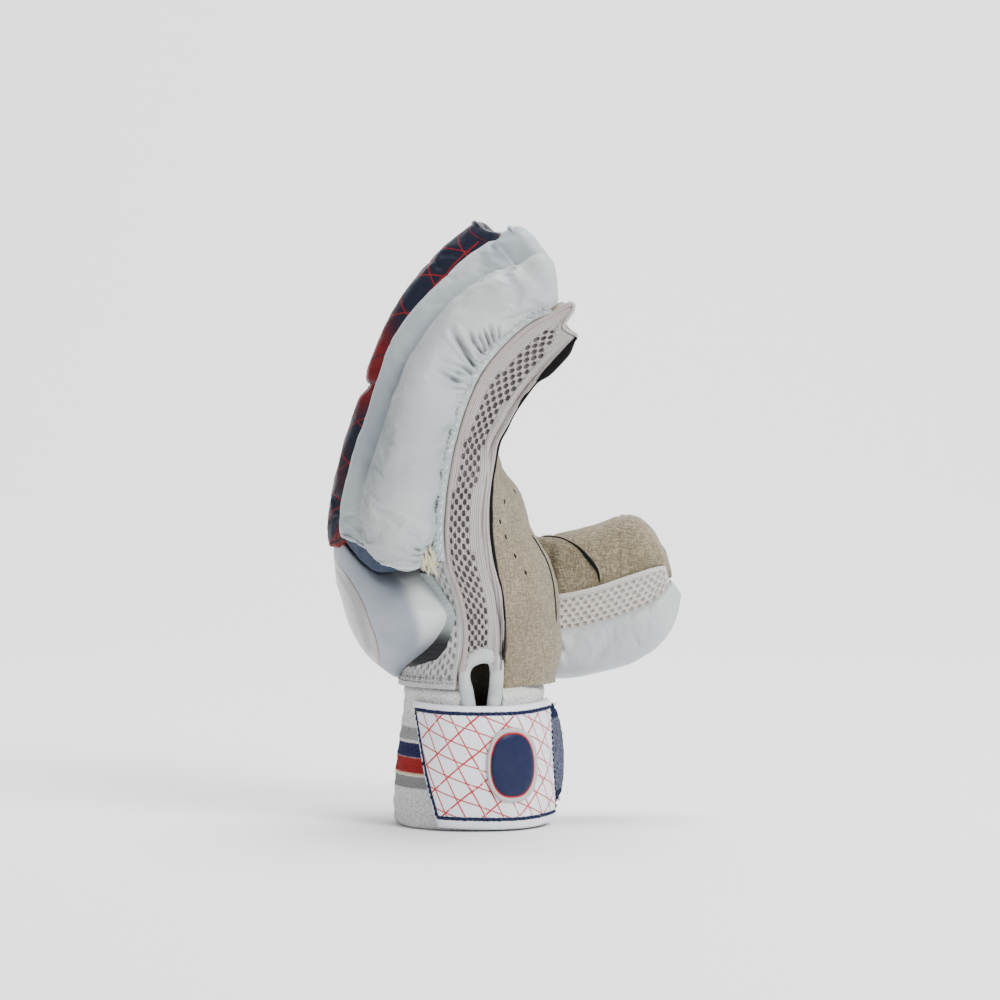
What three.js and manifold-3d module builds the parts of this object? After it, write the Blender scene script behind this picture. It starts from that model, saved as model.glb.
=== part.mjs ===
// A right-hand cricket batting glove, standing on its wristband with the fingers curled forward.
// Millimetres, +Z up, +X towards the palm, +Y towards the thumb side; the little finger is the near side, -Y.
import * as THREE from "three";
import { mergeVertices } from "three/addons/utils/BufferGeometryUtils.js";
import Module from "manifold-3d";

const wasm = await Module();
wasm.setup();

// The stations run from the wrist (u = 0) to the fingertips (u = 13). Each is a plane across the glove, through a point
// on the little finger's palm edge and a point on the highest finger roll of the back.
const STATIONS = [
  { u: 0, palmX: 8, palmZ: 59.2, backX: -36, backZ: 58.6 },
  { u: 1, palmX: 9, palmZ: 71.1, backX: -45, backZ: 69.3 },
  { u: 2, palmX: 9.7, palmZ: 85.7, backX: -54.5, backZ: 83.4 },
  { u: 3, palmX: 8.5, palmZ: 98.3, backX: -59, backZ: 96.8 },
  { u: 4, palmX: 5.3, palmZ: 110.9, backX: -63, backZ: 110.8 },
  { u: 5, palmX: 3.6, palmZ: 123.5, backX: -64.2, backZ: 124.8 },
  { u: 6, palmX: 3.4, palmZ: 136.1, backX: -62.8, backZ: 138.8 },
  { u: 7, palmX: 4.5, palmZ: 147.8, backX: -59.4, backZ: 152.8 },
  { u: 8, palmX: 7, palmZ: 159.4, backX: -54.5, backZ: 168.8 },
  { u: 9, palmX: 12.9, palmZ: 170.6, backX: -49, backZ: 187.8 },
  { u: 10, palmX: 20.6, palmZ: 181.8, backX: -42, backZ: 206.8 },
  { u: 11, palmX: 28.9, palmZ: 191.5, backX: -30, backZ: 226.8 },
  { u: 12, palmX: 35.7, palmZ: 198.8, backX: -14.5, backZ: 244.3 },
  { u: 13, palmX: 40, palmZ: 203.6, backX: 0, backZ: 255.8 },
];

// The outline of the hand across each station: its half width, the height of its back and palm at the middle, how far
// each falls away at the sides, and how square its corners are (1 is an ellipse).
const HAND = [
  { u: 0, half: 40, back: 43, backDrop: 9, palm: -20.5, palmDrop: 15, corner: 0.9 },
  { u: 1, half: 43.5, back: 42.5, backDrop: 10, palm: -24, palmDrop: 22, corner: 0.8 },
  { u: 2, half: 47, back: 41.5, backDrop: 11, palm: -23.6, palmDrop: 23, corner: 0.7 },
  { u: 3, half: 49.5, back: 39.5, backDrop: 11, palm: -24.5, palmDrop: 24, corner: 0.62 },
  { u: 4, half: 51, back: 39, backDrop: 10, palm: -24.3, palmDrop: 24, corner: 0.56 },
  { u: 5, half: 52, back: 38.6, backDrop: 9, palm: -21, palmDrop: 20, corner: 0.5 },
  { u: 6, half: 52.6, back: 38.6, backDrop: 9, palm: -17.5, palmDrop: 16.5, corner: 0.46 },
  { u: 7, half: 53, back: 38.6, backDrop: 9, palm: -10, palmDrop: 9, corner: 0.42 },
  { u: 8, half: 53, back: 38.6, backDrop: 9, palm: 0.5, palmDrop: -3.5, corner: 0.4 },
  { u: 8.4, half: 53, back: 38.6, backDrop: 9, palm: 4.4, palmDrop: -8.5, corner: 0.4 },
];
const BACK_MIDDLE_Y = 8; // the back is highest between the ring and the middle finger
const BACK_DROP_SPAN = 46;
const HAND_TOP_U = 8.3;

// Where the side gussets meet the back of the glove, as heights above the palm edge.
const SIDE_SEAM = [
  { u: 0, height: 17.8 },
  { u: 0.55, height: 17.9 },
  { u: 1.1, height: 16.6 },
  { u: 1.65, height: 16.2 },
  { u: 3, height: 17 },
  { u: 4, height: 18.5 },
  { u: 5, height: 20.5 },
  { u: 8, height: 19.5 },
  { u: 9.5, height: 22 },
  { u: 11, height: 23.5 },
  { u: 12, height: 21 },
  { u: 13, height: 16 },
];

const STRIP_TIP = [8.5, 5, -1.9, -0.4, 0.9]; // how far the gusset's tip reaches, from its seam to its palm edge

const WALL = { palm: 2.2, mesh: 2, finger: 1.8, wristband: 4, strap: 2.2 };
const SEAM_GAP = 0.5; // between neighbouring panels
const REST_GAP = 0.7; // between a padded roll and what it lies on

// The four fingers, from the little finger to the index finger: how far each roll's crest lies below the highest one at
// its root and at its tip, and how far the roll reaches past the last station.
const FINGERS = [
  { name: "little", y: -38, rootDrop: 4.5, tipDrop: 11, rollTip: 11 },
  { name: "ring", y: -13, rootDrop: 1, tipDrop: 1, rollTip: 2.5 },
  { name: "middle", y: 12, rootDrop: 0, tipDrop: 0, rollTip: 2.5 },
  { name: "index", y: 37, rootDrop: 3, tipDrop: 6, rollTip: 7 },
];
const FINGER_TIP = { palmSide: -1.2, backSide: 8 }; // the fingers end on a slant
const FINGER_HALF_WIDTH = 12;
const FINGER_HEIGHT = 27;
const FINGER_ROOT_U = 8.35; // just above the hand's rim
const FINGER_ARCH = { top: 9, middleY: 8, fall: 0.00425 }; // the middle fingers lie further back than the outer ones
const ROLL_HALF_WIDTH = 12.1;
const ROLL_BASE_LOW = FINGER_HEIGHT + 3.4; // over the hand
const ROLL_BASE_HIGH = FINGER_HEIGHT + REST_GAP; // over the finger
const ROLL_SPLITS = [8.95, 11.5]; // the coloured rolls are three segments long
const ROLL_START_U = 4.5;

// The rolls down the outer sides of the little and index fingers: where their crest lies, below the back's own.
const SIDE_ROLL = [
  { u: 4.2, crestDrop: 21, width: 10 },
  { u: 4.7, crestDrop: 15.5, width: 13.5 },
  { u: 6, crestDrop: 14, width: 15 },
  { u: 8, crestDrop: 14.5, width: 15 },
  { u: 10, crestDrop: 15, width: 15 },
  { u: 12, crestDrop: 19, width: 14 },
  { u: 13, crestDrop: 29, width: 11 },
];
const GATHER = { fromU: 7.4, depth: 1.1, perStation: 1.5 }; // leather puckered into the seam inside the bend

// The padded block over the knuckles: its thickness at the middle, and where its ends stop on both sides.
const BACK_PAD = [
  { u: 0.3, thickness: 1.4, end: 42 },
  { u: 0.65, thickness: 7, end: 41 },
  { u: 1, thickness: 12, end: 36 },
  { u: 1.5, thickness: 18, end: 28.5 },
  { u: 2.1, thickness: 23, end: 23.5 },
  { u: 2.8, thickness: 27, end: 22.5 },
  { u: 3.4, thickness: 28.5, end: 25.5 },
  { u: 3.85, thickness: 28, end: 30 },
  { u: 4.05, thickness: 24, end: 32.5 },
];
const PAD_SIDE_SHARE = 0.56; // its thickness at the ends, as a share of the middle's
const PAD_TOP_TILT = 0.14; // the top slopes down towards the palm
const BAND_U = [4.22, 4.4];
const BAND_THICKNESS = 7;

// The wristband's outline at each height.
const WRISTBAND = [
  { z: 0, reachX: 32.2, reachY: 38.4 },
  { z: 8, reachX: 33, reachY: 39 },
  { z: 34, reachX: 31.6, reachY: 38.2 },
  { z: 57.9, reachX: 30.4, reachY: 37.6 },
];
const WRIST_MIDDLE_X = -3.5;
const WRIST_CORNER = 0.92;
const STRAP = { low: 2.8, high: 52.6, leftLowX: -18, leftHighX: -28.2, rightY: -8, clear: 1.5, endClear: 0.5 };
const STRAP_TAB = { low: 10, high: 50.5, fromY: -5.6, toY: 9, middleReach: 5, lift: 5.6, thickness: 2.6 };
const BADGE = { x: 12, z: 27.5, halfWidth: 9.6, halfHeight: 15.5, thickness: 1.8, steps: 16 };

// The slit on the near side of the wrist, and the rolled leather edge round it.
const VENT = { leftX: -9.4, rightX: 10.2, low: 46, topU: 1.65 };
const BINDING = { radius: 2.5, sides: 8, steps: 18 };
const BINDING_PATH = [
  { x: -6.3, z: 47.5 },
  { x: -6.5, z: 57 },
  { x: -6.1, z: 66 },
  { x: -3.6, z: 72.6 },
  { x: 0.9, z: 75.7 },
  { x: 5, z: 73.2 },
  { x: 7.2, z: 66.5 },
  { x: 7.1, z: 57 },
  { x: 6.9, z: 47.5 },
];

// The thumb's own stations, from inside the palm to its tip: its leather edge above, its padded edge below, its middle
// and half width across, and the shares of its height at which the mesh starts and the padding starts.
const THUMB = [
  { v: 0, topX: 3.9, topZ: 116.9, lowX: 6, lowZ: 61, y: 25, half: 17, mesh: 0.41, pad: 0.62 },
  { v: 1, topX: 21.2, topZ: 120.1, lowX: 21.2, lowZ: 59.8, y: 25, half: 17.5, mesh: 0.41, pad: 0.62 },
  { v: 2, topX: 35.4, topZ: 121.7, lowX: 34.4, lowZ: 59.4, y: 25, half: 18, mesh: 0.41, pad: 0.61 },
  { v: 3, topX: 48.6, topZ: 125, lowX: 48.6, lowZ: 61.7, y: 25, half: 18.5, mesh: 0.41, pad: 0.61 },
  { v: 4, topX: 59.8, topZ: 129.1, lowX: 62.8, lowZ: 65.9, y: 24.5, half: 18, mesh: 0.41, pad: 0.61 },
  { v: 5, topX: 67.9, topZ: 128.6, lowX: 74.5, lowZ: 72.7, y: 24, half: 16.5, mesh: 0.4, pad: 0.61 },
  { v: 6, topX: 74.5, topZ: 123, lowX: 81.7, lowZ: 80.8, y: 23.5, half: 13, mesh: 0.36, pad: 0.56 },
  { v: 6.6, topX: 78, topZ: 116.4, lowX: 84.9, lowZ: 87.9, y: 23, half: 9.5, mesh: 0.3, pad: 0.5 },
];
const THUMB_ROLL_EXTRA = 3.2; // the thumb's roll is wider than the thumb on each side
const THUMB_ROLL_START = 1.15;

const COLOURS = {
  whiteLeather: { color: 0xdfe4e6, roughness: 0.5 },
  navyPrint: { color: 0x1b2a4e, roughness: 0.45 },
  mesh: { color: 0xe2dada, roughness: 0.9 },
  palmLeather: { color: 0xb5ab9a, roughness: 0.85 },
  terry: { color: 0xd9d9d7, roughness: 1 },
  badge: { color: 0x1f3468, roughness: 0.4 },
  tab: { color: 0x2b3a66, roughness: 0.8 },
};

// A table's column at u, as a smooth curve through its rows.
function valueAt(rows, column, at, key = "u") {
  const last = rows.length - 1;
  let i = rows.findIndex((row) => row[key] > at) - 1;
  if (i < 0) i = at <= rows[0][key] ? 0 : last - 1;
  const slope = (k) => {
    const a = rows[Math.max(k - 1, 0)];
    const b = rows[Math.min(k + 1, last)];
    return (b[column] - a[column]) / (b[key] - a[key]);
  };
  const span = rows[i + 1][key] - rows[i][key];
  const t = THREE.MathUtils.clamp((at - rows[i][key]) / span, 0, 1);
  const t2 = t * t;
  const t3 = t2 * t;
  return (
    (2 * t3 - 3 * t2 + 1) * rows[i][column] +
    (t3 - 2 * t2 + t) * span * slope(i) +
    (3 * t2 - 2 * t3) * rows[i + 1][column] +
    (t3 - t2) * span * slope(i + 1)
  );
}

function signedPower(value, power) {
  return Math.sign(value) * Math.abs(value) ** power;
}

// A point from its station, its height above the palm edge, its place across, and how far it lies past the station.
function place(u, height, y, past = 0) {
  const palm = new THREE.Vector3(valueAt(STATIONS, "palmX", u), 0, valueAt(STATIONS, "palmZ", u));
  const back = new THREE.Vector3(valueAt(STATIONS, "backX", u), 0, valueAt(STATIONS, "backZ", u));
  const up = back.sub(palm).normalize();
  const forward = new THREE.Vector3(up.z, 0, -up.x);
  const point = palm.addScaledVector(up, height).addScaledVector(forward, past);
  point.y = y;
  return point;
}

function backHeight(u) {
  const dx = valueAt(STATIONS, "backX", u) - valueAt(STATIONS, "palmX", u);
  const dz = valueAt(STATIONS, "backZ", u) - valueAt(STATIONS, "palmZ", u);
  return Math.hypot(dx, dz);
}

function archAt(y) {
  return FINGER_ARCH.top - FINGER_ARCH.fall * (y - FINGER_ARCH.middleY) ** 2;
}

// A closed mesh from rings of equally many points, with both ends capped, or bent round to meet when ringed is true.
function loft(rings, ringed = false) {
  const count = rings[0].length;
  const positions = rings.flat().flatMap((p) => [p.x, p.y, p.z]);
  const triangles = [];
  const bands = ringed ? rings.length : rings.length - 1;
  for (let r = 0; r < bands; r++) {
    const a = r * count;
    const b = ((r + 1) % rings.length) * count;
    for (let k = 0; k < count; k++) {
      const next = (k + 1) % count;
      triangles.push(a + k, a + next, b + next, a + k, b + next, b + k);
    }
  }
  if (!ringed) {
    const top = (rings.length - 1) * count;
    for (const [a, b, c] of capTriangles(rings[0])) triangles.push(c, b, a);
    for (const [a, b, c] of capTriangles(rings.at(-1))) triangles.push(top + a, top + b, top + c);
  }
  return facingOut(positions, triangles);
}

// Triangles over a flat ring, wound as its points run.
function capTriangles(ring) {
  const normal = new THREE.Vector3();
  ring.forEach((p, i) => normal.add(new THREE.Vector3().crossVectors(p, ring[(i + 1) % ring.length])));
  normal.normalize();
  const side = new THREE.Vector3().subVectors(ring[Math.floor(ring.length / 3)], ring[0]);
  side.addScaledVector(normal, -side.dot(normal)).normalize();
  const other = new THREE.Vector3().crossVectors(normal, side);
  const flat = ring.map((p) => new THREE.Vector2(p.dot(side), p.dot(other)));
  return THREE.ShapeUtils.triangulateShape(flat, []);
}

function facingOut(positions, triangles) {
  const corner = (i) => new THREE.Vector3().fromArray(positions, triangles[i] * 3);
  let volume = 0;
  for (let i = 0; i < triangles.length; i += 3) {
    volume += corner(i).dot(corner(i + 1).cross(corner(i + 2)));
  }
  if (volume < 0) triangles.reverse();
  const geometry = new THREE.BufferGeometry();
  geometry.setAttribute("position", new THREE.Float32BufferAttribute(positions, 3));
  geometry.setIndex(triangles);
  return geometry;
}

function toSolid(geometry) {
  const bare = geometry.clone();
  bare.deleteAttribute("normal");
  bare.deleteAttribute("uv");
  const merged = mergeVertices(bare, 1e-4);
  return new wasm.Manifold(
    new wasm.Mesh({
      numProp: 3,
      vertProperties: new Float32Array(merged.attributes.position.array),
      triVerts: new Uint32Array(merged.index.array),
    }),
  );
}

function toGeometry(solid) {
  const mesh = solid.getMesh();
  const geometry = new THREE.BufferGeometry();
  geometry.setAttribute("position", new THREE.BufferAttribute(mesh.vertProperties, 3));
  geometry.setIndex(new THREE.BufferAttribute(mesh.triVerts, 1));
  return geometry;
}

const glove = new THREE.Group();

function addPiece(name, geometry, finish) {
  const flat = geometry.index ? geometry.toNonIndexed() : geometry;
  flat.computeVertexNormals();
  const mesh = new THREE.Mesh(flat, new THREE.MeshStandardMaterial({ metalness: 0, ...finish }));
  mesh.name = name;
  glove.add(mesh);
}

function steps(from, to, count) {
  return Array.from({ length: count + 1 }, (_, i) => from + ((to - from) * i) / count);
}

// The hand's outline at one angle: 0 is the thumb side, a quarter turn the back, a half turn the little finger's side.
function handOutline(u, angle) {
  const row = (column) => valueAt(HAND, column, u);
  const corner = row("corner");
  const y = row("half") * signedPower(Math.cos(angle), corner);
  const back = row("back") - row("backDrop") * ((y - BACK_MIDDLE_Y) / BACK_DROP_SPAN) ** 2;
  const palm = row("palm") + row("palmDrop") * (y / row("half")) ** 2;
  const height = (back + palm) / 2 + ((back - palm) / 2) * signedPower(Math.sin(angle), corner);
  return new THREE.Vector2(y, height);
}

// The same, moved inwards by a distance at right angles to the outline.
function handInset(u, angle, inset) {
  const nudge = 0.02;
  const along = handOutline(u, angle + nudge).sub(handOutline(u, angle - nudge)).normalize();
  return handOutline(u, angle).add(new THREE.Vector2(-along.y, along.x).multiplyScalar(inset));
}

// The angle at which the outline first crosses a height, walking from one angle towards another.
function angleAtHeight(u, height, from, to) {
  const above = (angle) => handOutline(u, angle).y > height;
  const walk = steps(from, to, 48);
  const i = walk.findIndex((angle) => above(angle) !== above(from));
  let [a, b] = [walk[i - 1], walk[i]];
  for (let k = 0; k < 30; k++) {
    const middle = (a + b) / 2;
    if (above(middle) === above(from)) a = middle;
    else b = middle;
  }
  return (a + b) / 2;
}

const QUARTER = Math.PI / 2;
const PALM_EDGE_HEIGHT = 0.8;
const seamHeight = (u) => valueAt(SIDE_SEAM, "height", u);

// The angles at which the hand's panels meet, with the gap between them left on both sides.
const edgeAngles = {
  nearSeam: (u, shift) => angleAtHeight(u, seamHeight(u) + shift, QUARTER, 2 * QUARTER),
  nearEdge: (u, shift) => angleAtHeight(u, PALM_EDGE_HEIGHT + shift, 2 * QUARTER, 3 * QUARTER),
  farSeam: (u, shift) => angleAtHeight(u, seamHeight(u) + 3 + shift, QUARTER, 0),
  farEdge: (u, shift) => angleAtHeight(u, 3 + shift, 0, -QUARTER),
};

// A panel of the hand's wall between two angles, one ring for each station.
function handPanel(levels, columns, wall, fromAngle, toAngle) {
  return loft(
    levels.map((u) => {
      const angles = steps(fromAngle(u), toAngle(u), columns);
      const outside = angles.map((angle) => handOutline(u, angle));
      const inside = angles.map((angle) => handInset(u, angle, wall)).reverse();
      return [...outside, ...inside].map((p) => place(u, p.y, p.x));
    }),
  );
}

const HAND_LEVELS = [0, 0.55, 1.1, 1.65, 2.3, 3, 3.7, 4.4, 5.2, 6, 6.8, 7.6, HAND_TOP_U];

// The hand's whole outline as one solid, grown by a distance, for cutting what lies on it.
function handSolid(grow) {
  const levels = [-1, ...HAND_LEVELS];
  const angles = steps(0, 4 * QUARTER, 32).slice(0, -1);
  const rings = levels.map((u) =>
    angles.map((angle) => {
      const p = handInset(Math.max(u, 0), angle, -grow);
      return place(Math.max(u, 0), p.y, p.x, u < 0 ? -8 : 0);
    }),
  );
  return toSolid(loft(rings));
}

// A finger of the glove: a hollow tube with an open root above the hand's rim and a closed, slanted tip.
function fingerTube({ y }) {
  const middle = archAt(y) + FINGER_HEIGHT / 2;
  const ringAt = (u, reach, scale, wall) =>
    steps(0, 4 * QUARTER, 12)
      .slice(0, -1)
      .map((angle) => {
        const across = (FINGER_HALF_WIDTH - wall) * scale * signedPower(Math.cos(angle), 0.62);
        const up = (FINGER_HEIGHT / 2 - wall) * scale * signedPower(Math.sin(angle), 0.62);
        const slant = THREE.MathUtils.lerp(FINGER_TIP.palmSide, FINGER_TIP.backSide, up / FINGER_HEIGHT + 0.5);
        return place(u, middle + up, y + across, reach * (slant - wall) - (1 - scale) * 1.5 * reach);
      });
  const stations = [FINGER_ROOT_U, 9.2, 10.1, 11, 11.9];
  const tipRows = [
    { reach: -0.4, scale: 1 },
    { reach: 0.5, scale: 0.92 },
    { reach: 0.95, scale: 0.7 },
    { reach: 1.1, scale: 0.35 },
  ];
  const shell = (wall) => [
    ...stations.map((u) => ringAt(u, 0, 1, wall)),
    ...tipRows.map((row) => ringAt(13, row.reach, row.scale, wall)),
  ];
  return loft([...shell(WALL.finger).reverse(), ...shell(0)]);
}

// The cross-section of a finger's padded roll: domed above, and below as flat as the hand or the finger it lies on.
function rollRing(u, past, finger, scale) {
  const crest = backHeight(u) - THREE.MathUtils.mapLinear(u, ROLL_START_U, 13, finger.rootDrop, finger.tipDrop);
  const waist = THREE.MathUtils.lerp(rollBase(u, finger.y, finger.y), crest, 0.36);
  return steps(0, 4 * QUARTER, 14)
    .slice(0, -1)
    .map((angle) => {
      const up = Math.sin(angle);
      const y = finger.y + ROLL_HALF_WIDTH * signedPower(Math.cos(angle), 0.78) * scale;
      const base = rollBase(u, finger.y, y);
      const reach = up > 0 ? (crest - waist) * up ** 0.85 : (base - waist) * Math.abs(up) ** 0.5;
      return place(u, waist + reach * scale, y, past);
    });
}

// The rings that round off one end of a roll, from the full section outwards.
const END_ROWS = [
  { past: 0.5, scale: 0.93 },
  { past: 0.85, scale: 0.72 },
  { past: 1, scale: 0.4 },
];

// A roll's underside follows the hand's curved back, then the flat back of its own finger.
function rollBase(u, fingerY, y) {
  const share = THREE.MathUtils.smoothstep(u, HAND_TOP_U + 0.1, HAND_TOP_U + 1.2);
  return THREE.MathUtils.lerp(archAt(y) + ROLL_BASE_LOW, archAt(fingerY) + ROLL_BASE_HIGH, share);
}

// A stretch of a finger's roll, with rounded ends of a given length inside the stretch at its start.
function fingerRoll(finger, fromU, toU, startRound, endRound, count) {
  const ring = (u, past, scale) => rollRing(u, past, finger, scale);
  const start = [...END_ROWS].reverse().map((row) => ring(fromU, startRound * (1 - row.past), row.scale));
  const middle = steps(fromU, toU, count).map((u, i) => {
    if (i === 0) return ring(u, startRound, 1);
    return ring(u, 0, 1);
  });
  const end = END_ROWS.map((row) => ring(toU, endRound * row.past, row.scale));
  return loft([...start, ...middle, ...end]);
}

// The roll down the outer side of the hand: side is -1 beside the little finger and 1 beside the index finger.
function sideRoll(side, rings) {
  const inner = 53.6;
  const ring = (u, past, scale) => {
    const low = seamHeight(u) + (side > 0 ? 3 : 0) + SEAM_GAP;
    const crest = backHeight(u) - valueAt(SIDE_ROLL, "crestDrop", u);
    const width = valueAt(SIDE_ROLL, "width", u);
    return steps(0, 4 * QUARTER, 14)
      .slice(0, -1)
      .map((angle) => {
        const up = Math.sin(angle);
        const out = Math.cos(angle);
        const pucker = u > GATHER.fromU && up < 0.2 && out > 0 ? GATHER.depth * (0.2 - up) : 0;
        const wave = pucker * Math.sin(2 * Math.PI * GATHER.perStation * u);
        const reach = out > 0 ? width * out ** 0.75 : 0.9 * out;
        const height = (low + crest) / 2 + ((crest - low) / 2) * signedPower(up, 0.85) * scale;
        return place(u, height, side * (inner + (reach + wave) * scale), past(up));
      });
  };
  const flat = () => 0;
  const start = [...END_ROWS].reverse().map((row) => ring(4.2, (up) => (up - 1.6) * 1.9 * row.past, row.scale));
  const middle = steps(4.2, 13, rings).map((u) => ring(u, flat, 1));
  const end = END_ROWS.map((row) => ring(13, (up) => (6.2 + 4.4 * up) * row.past, row.scale));
  return loft([...start, ...middle, ...end]);
}

// The mesh down one side of the glove: part of the hand's wall, then a strip outside the end finger up to its tip.
function gusset(side) {
  const lift = side > 0 ? 3 : 0;
  const columns = 4;
  const half = SEAM_GAP / 2;
  const seam = side > 0 ? edgeAngles.farSeam : edgeAngles.nearSeam;
  const edge = side > 0 ? edgeAngles.farEdge : edgeAngles.nearEdge;
  const levels = HAND_LEVELS.filter((u) => side > 0 || u >= VENT.topU);
  const handPart = levels.map((u) => {
    const angles = steps(seam(u, -half), edge(u, half), columns);
    const outside = angles.map((angle) => handOutline(u, angle));
    const inside = angles.map((angle) => handInset(u, angle, WALL.mesh)).reverse();
    return [...outside, ...inside].map((p) => place(u, p.y, p.x));
  });
  const strip = (u, past) => {
    const heights = steps(seamHeight(u) + lift - half, lift + PALM_EDGE_HEIGHT + half, columns);
    const outside = heights.map((height, i) => place(u, height, side * 52.9, past[i]));
    const inside = heights.map((height, i) => place(u, height, side * 51.2, past[i])).reverse();
    return [...outside, ...inside];
  };
  const level = [0, 0, 0, 0, 0];
  const fingerPart = steps(8.7, 12.6, 8).map((u) => strip(u, level));
  return loft([...handPart, ...fingerPart, strip(13, STRIP_TIP)]);
}

// The pad over the knuckles, from its near end round the back to its far end.
function backPad() {
  const rings = BACK_PAD.map((row, index) => {
    const near = angleAtHeight(row.u, row.end, QUARTER, 2 * QUARTER);
    const far = angleAtHeight(row.u, row.end, QUARTER, 0);
    const shares = steps(-1, 1, 14);
    const angles = steps(near, far, 14);
    const top = index >= BACK_PAD.length - 2;
    const lean = (height) => (top ? (height - row.end) * PAD_TOP_TILT : 0);
    const inside = angles.map((angle) => handInset(row.u, angle, -REST_GAP));
    const outside = angles.map((angle, i) => {
      const end = Math.abs(shares[i]);
      const swell = (1 - (1 - PAD_SIDE_SHARE) * end ** 2) * (1 - 0.35 * end ** 10);
      return handInset(row.u, angle, -REST_GAP - 0.8 - row.thickness * swell);
    });
    return [...outside, ...inside.reverse()].map((p) => place(row.u, p.y, p.x, lean(p.y)));
  });
  return loft(rings);
}

// The band of cloth that shows between the knuckle pad and the finger rolls.
function knuckleBand() {
  const ring = (u) => {
    const near = angleAtHeight(u, 27, QUARTER, 2 * QUARTER);
    const far = angleAtHeight(u, 30, QUARTER, 0);
    const angles = steps(near, far, 16);
    const at = (grow) => angles.map((angle) => handInset(u, angle, -grow));
    return [...at(REST_GAP + BAND_THICKNESS), ...at(REST_GAP).reverse()].map((p) => place(u, p.y, p.x));
  };
  return loft([...BAND_U].map(ring));
}

// A point on the wristband's outline, grown by a distance.
function wristPoint(angle, z, grow) {
  const x = (valueAt(WRISTBAND, "reachX", z, "z") + grow) * signedPower(Math.cos(angle), WRIST_CORNER);
  const y = (valueAt(WRISTBAND, "reachY", z, "z") + grow) * signedPower(Math.sin(angle), WRIST_CORNER);
  return new THREE.Vector3(WRIST_MIDDLE_X + x, y, z);
}

function wristband() {
  const ring = (z, grow) =>
    steps(0, 4 * QUARTER, 28)
      .slice(0, -1)
      .map((angle) => wristPoint(angle, z, grow));
  const heights = WRISTBAND.map((row) => row.z);
  const outside = heights.map((z) => ring(z, 0));
  const inside = [...heights].reverse().map((z) => ring(z, -WALL.wristband));
  const tube = toSolid(loft([...outside, ...inside], true));
  const cutter = new THREE.BoxGeometry(VENT.rightX - VENT.leftX, 30, 40);
  cutter.translate((VENT.rightX + VENT.leftX) / 2, -38, VENT.low + 20);
  return toGeometry(tube.subtract(toSolid(cutter)));
}

// The angle on the near half of the wristband's outline at which it reaches a place along X or Y.
function wristAngleAt(axis, value) {
  const share = axis === "x" ? (value - WRIST_MIDDLE_X) / 33.4 : value / 39.6;
  const straight = Math.abs(share) ** (1 / WRIST_CORNER) * Math.sign(share);
  return axis === "x" ? -Math.acos(straight) : Math.asin(straight);
}

// A curved band outside the wristband between two slanted ends.
function wristWrap(low, high, fromAngle, toAngle, columns, clearAt, thickness) {
  const rows = steps(0, 1, 3).map((share) => {
    const z = THREE.MathUtils.lerp(low, high, share);
    const angles = steps(fromAngle(share), toAngle(share), columns);
    const outside = angles.map((angle, i) => wristPoint(angle, z, clearAt(i / columns, share) + thickness));
    const inside = angles.map((angle, i) => wristPoint(angle, z, clearAt(i / columns, share)));
    return [...outside, ...inside.reverse()];
  });
  return loft(rows);
}

const strapClear = (share) => STRAP.endClear + (STRAP.clear - STRAP.endClear) * Math.sin(Math.PI * share) ** 0.5;

function strap() {
  const left = (share) => wristAngleAt("x", THREE.MathUtils.lerp(STRAP.leftLowX, STRAP.leftHighX, share));
  const right = () => wristAngleAt("y", STRAP.rightY);
  return wristWrap(STRAP.low, STRAP.high, left, right, 20, strapClear, WALL.strap);
}

// The soft end of the strap's underside, which stands off the wristband on the palm side.
function strapTab() {
  const from = () => wristAngleAt("y", STRAP_TAB.fromY);
  const to = (share) => wristAngleAt("y", STRAP_TAB.toY + STRAP_TAB.middleReach * Math.sin(Math.PI * share));
  const lift = (share, level) => STRAP.endClear + STRAP_TAB.lift * share * (0.4 + 0.6 * Math.sin(Math.PI * level));
  return wristWrap(STRAP_TAB.low, STRAP_TAB.high, from, to, 6, lift, STRAP_TAB.thickness);
}

// A raised six-sided badge with rounded corners, bent to the strap it sits on.
function badge() {
  const grow = STRAP.clear + WALL.strap + 0.35;
  const outline = steps(0, 4 * QUARTER, BADGE.steps)
    .slice(0, -1)
    .map((angle) => ({
      x: BADGE.x + BADGE.halfWidth * signedPower(Math.cos(angle), 0.8),
      z: BADGE.z + BADGE.halfHeight * signedPower(Math.sin(angle), 0.9),
    }));
  const sheet = (scale, lift) =>
    outline.map(({ x, z }) => {
      const angle = wristAngleAt("x", BADGE.x + (x - BADGE.x) * scale);
      return wristPoint(angle, BADGE.z + (z - BADGE.z) * scale, grow + lift);
    });
  const domed = (lift) => sheet(0.5, lift);
  return loft([domed(0.1), sheet(1, 0.05), sheet(1, BADGE.thickness * 0.7), sheet(0.9, BADGE.thickness), domed(2)]);
}

// The rolled leather edge: a tube along an upturned U that follows the near side of the wrist.
function ventBinding() {
  const surfaceY = (x, z) => {
    if (z < 60.5) return wristPoint(wristAngleAt("x", x), z, 0).y;
    const u = THREE.MathUtils.lerp(0, 1, (z - 60.5) / 11.5);
    return -valueAt(HAND, "half", Math.min(u, 2)) + 0.4;
  };
  const points = BINDING_PATH.map(({ x, z }) => new THREE.Vector3(x, surfaceY(x, z) + 1.6, z));
  const path = new THREE.CatmullRomCurve3(points);
  const section = new THREE.Shape();
  section.absarc(0, 0, BINDING.radius, 0, 4 * QUARTER, false);
  return new THREE.ExtrudeGeometry(section, {
    steps: BINDING.steps,
    curveSegments: BINDING.sides / 2,
    bevelEnabled: false,
    extrudePath: path,
  });
}

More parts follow.
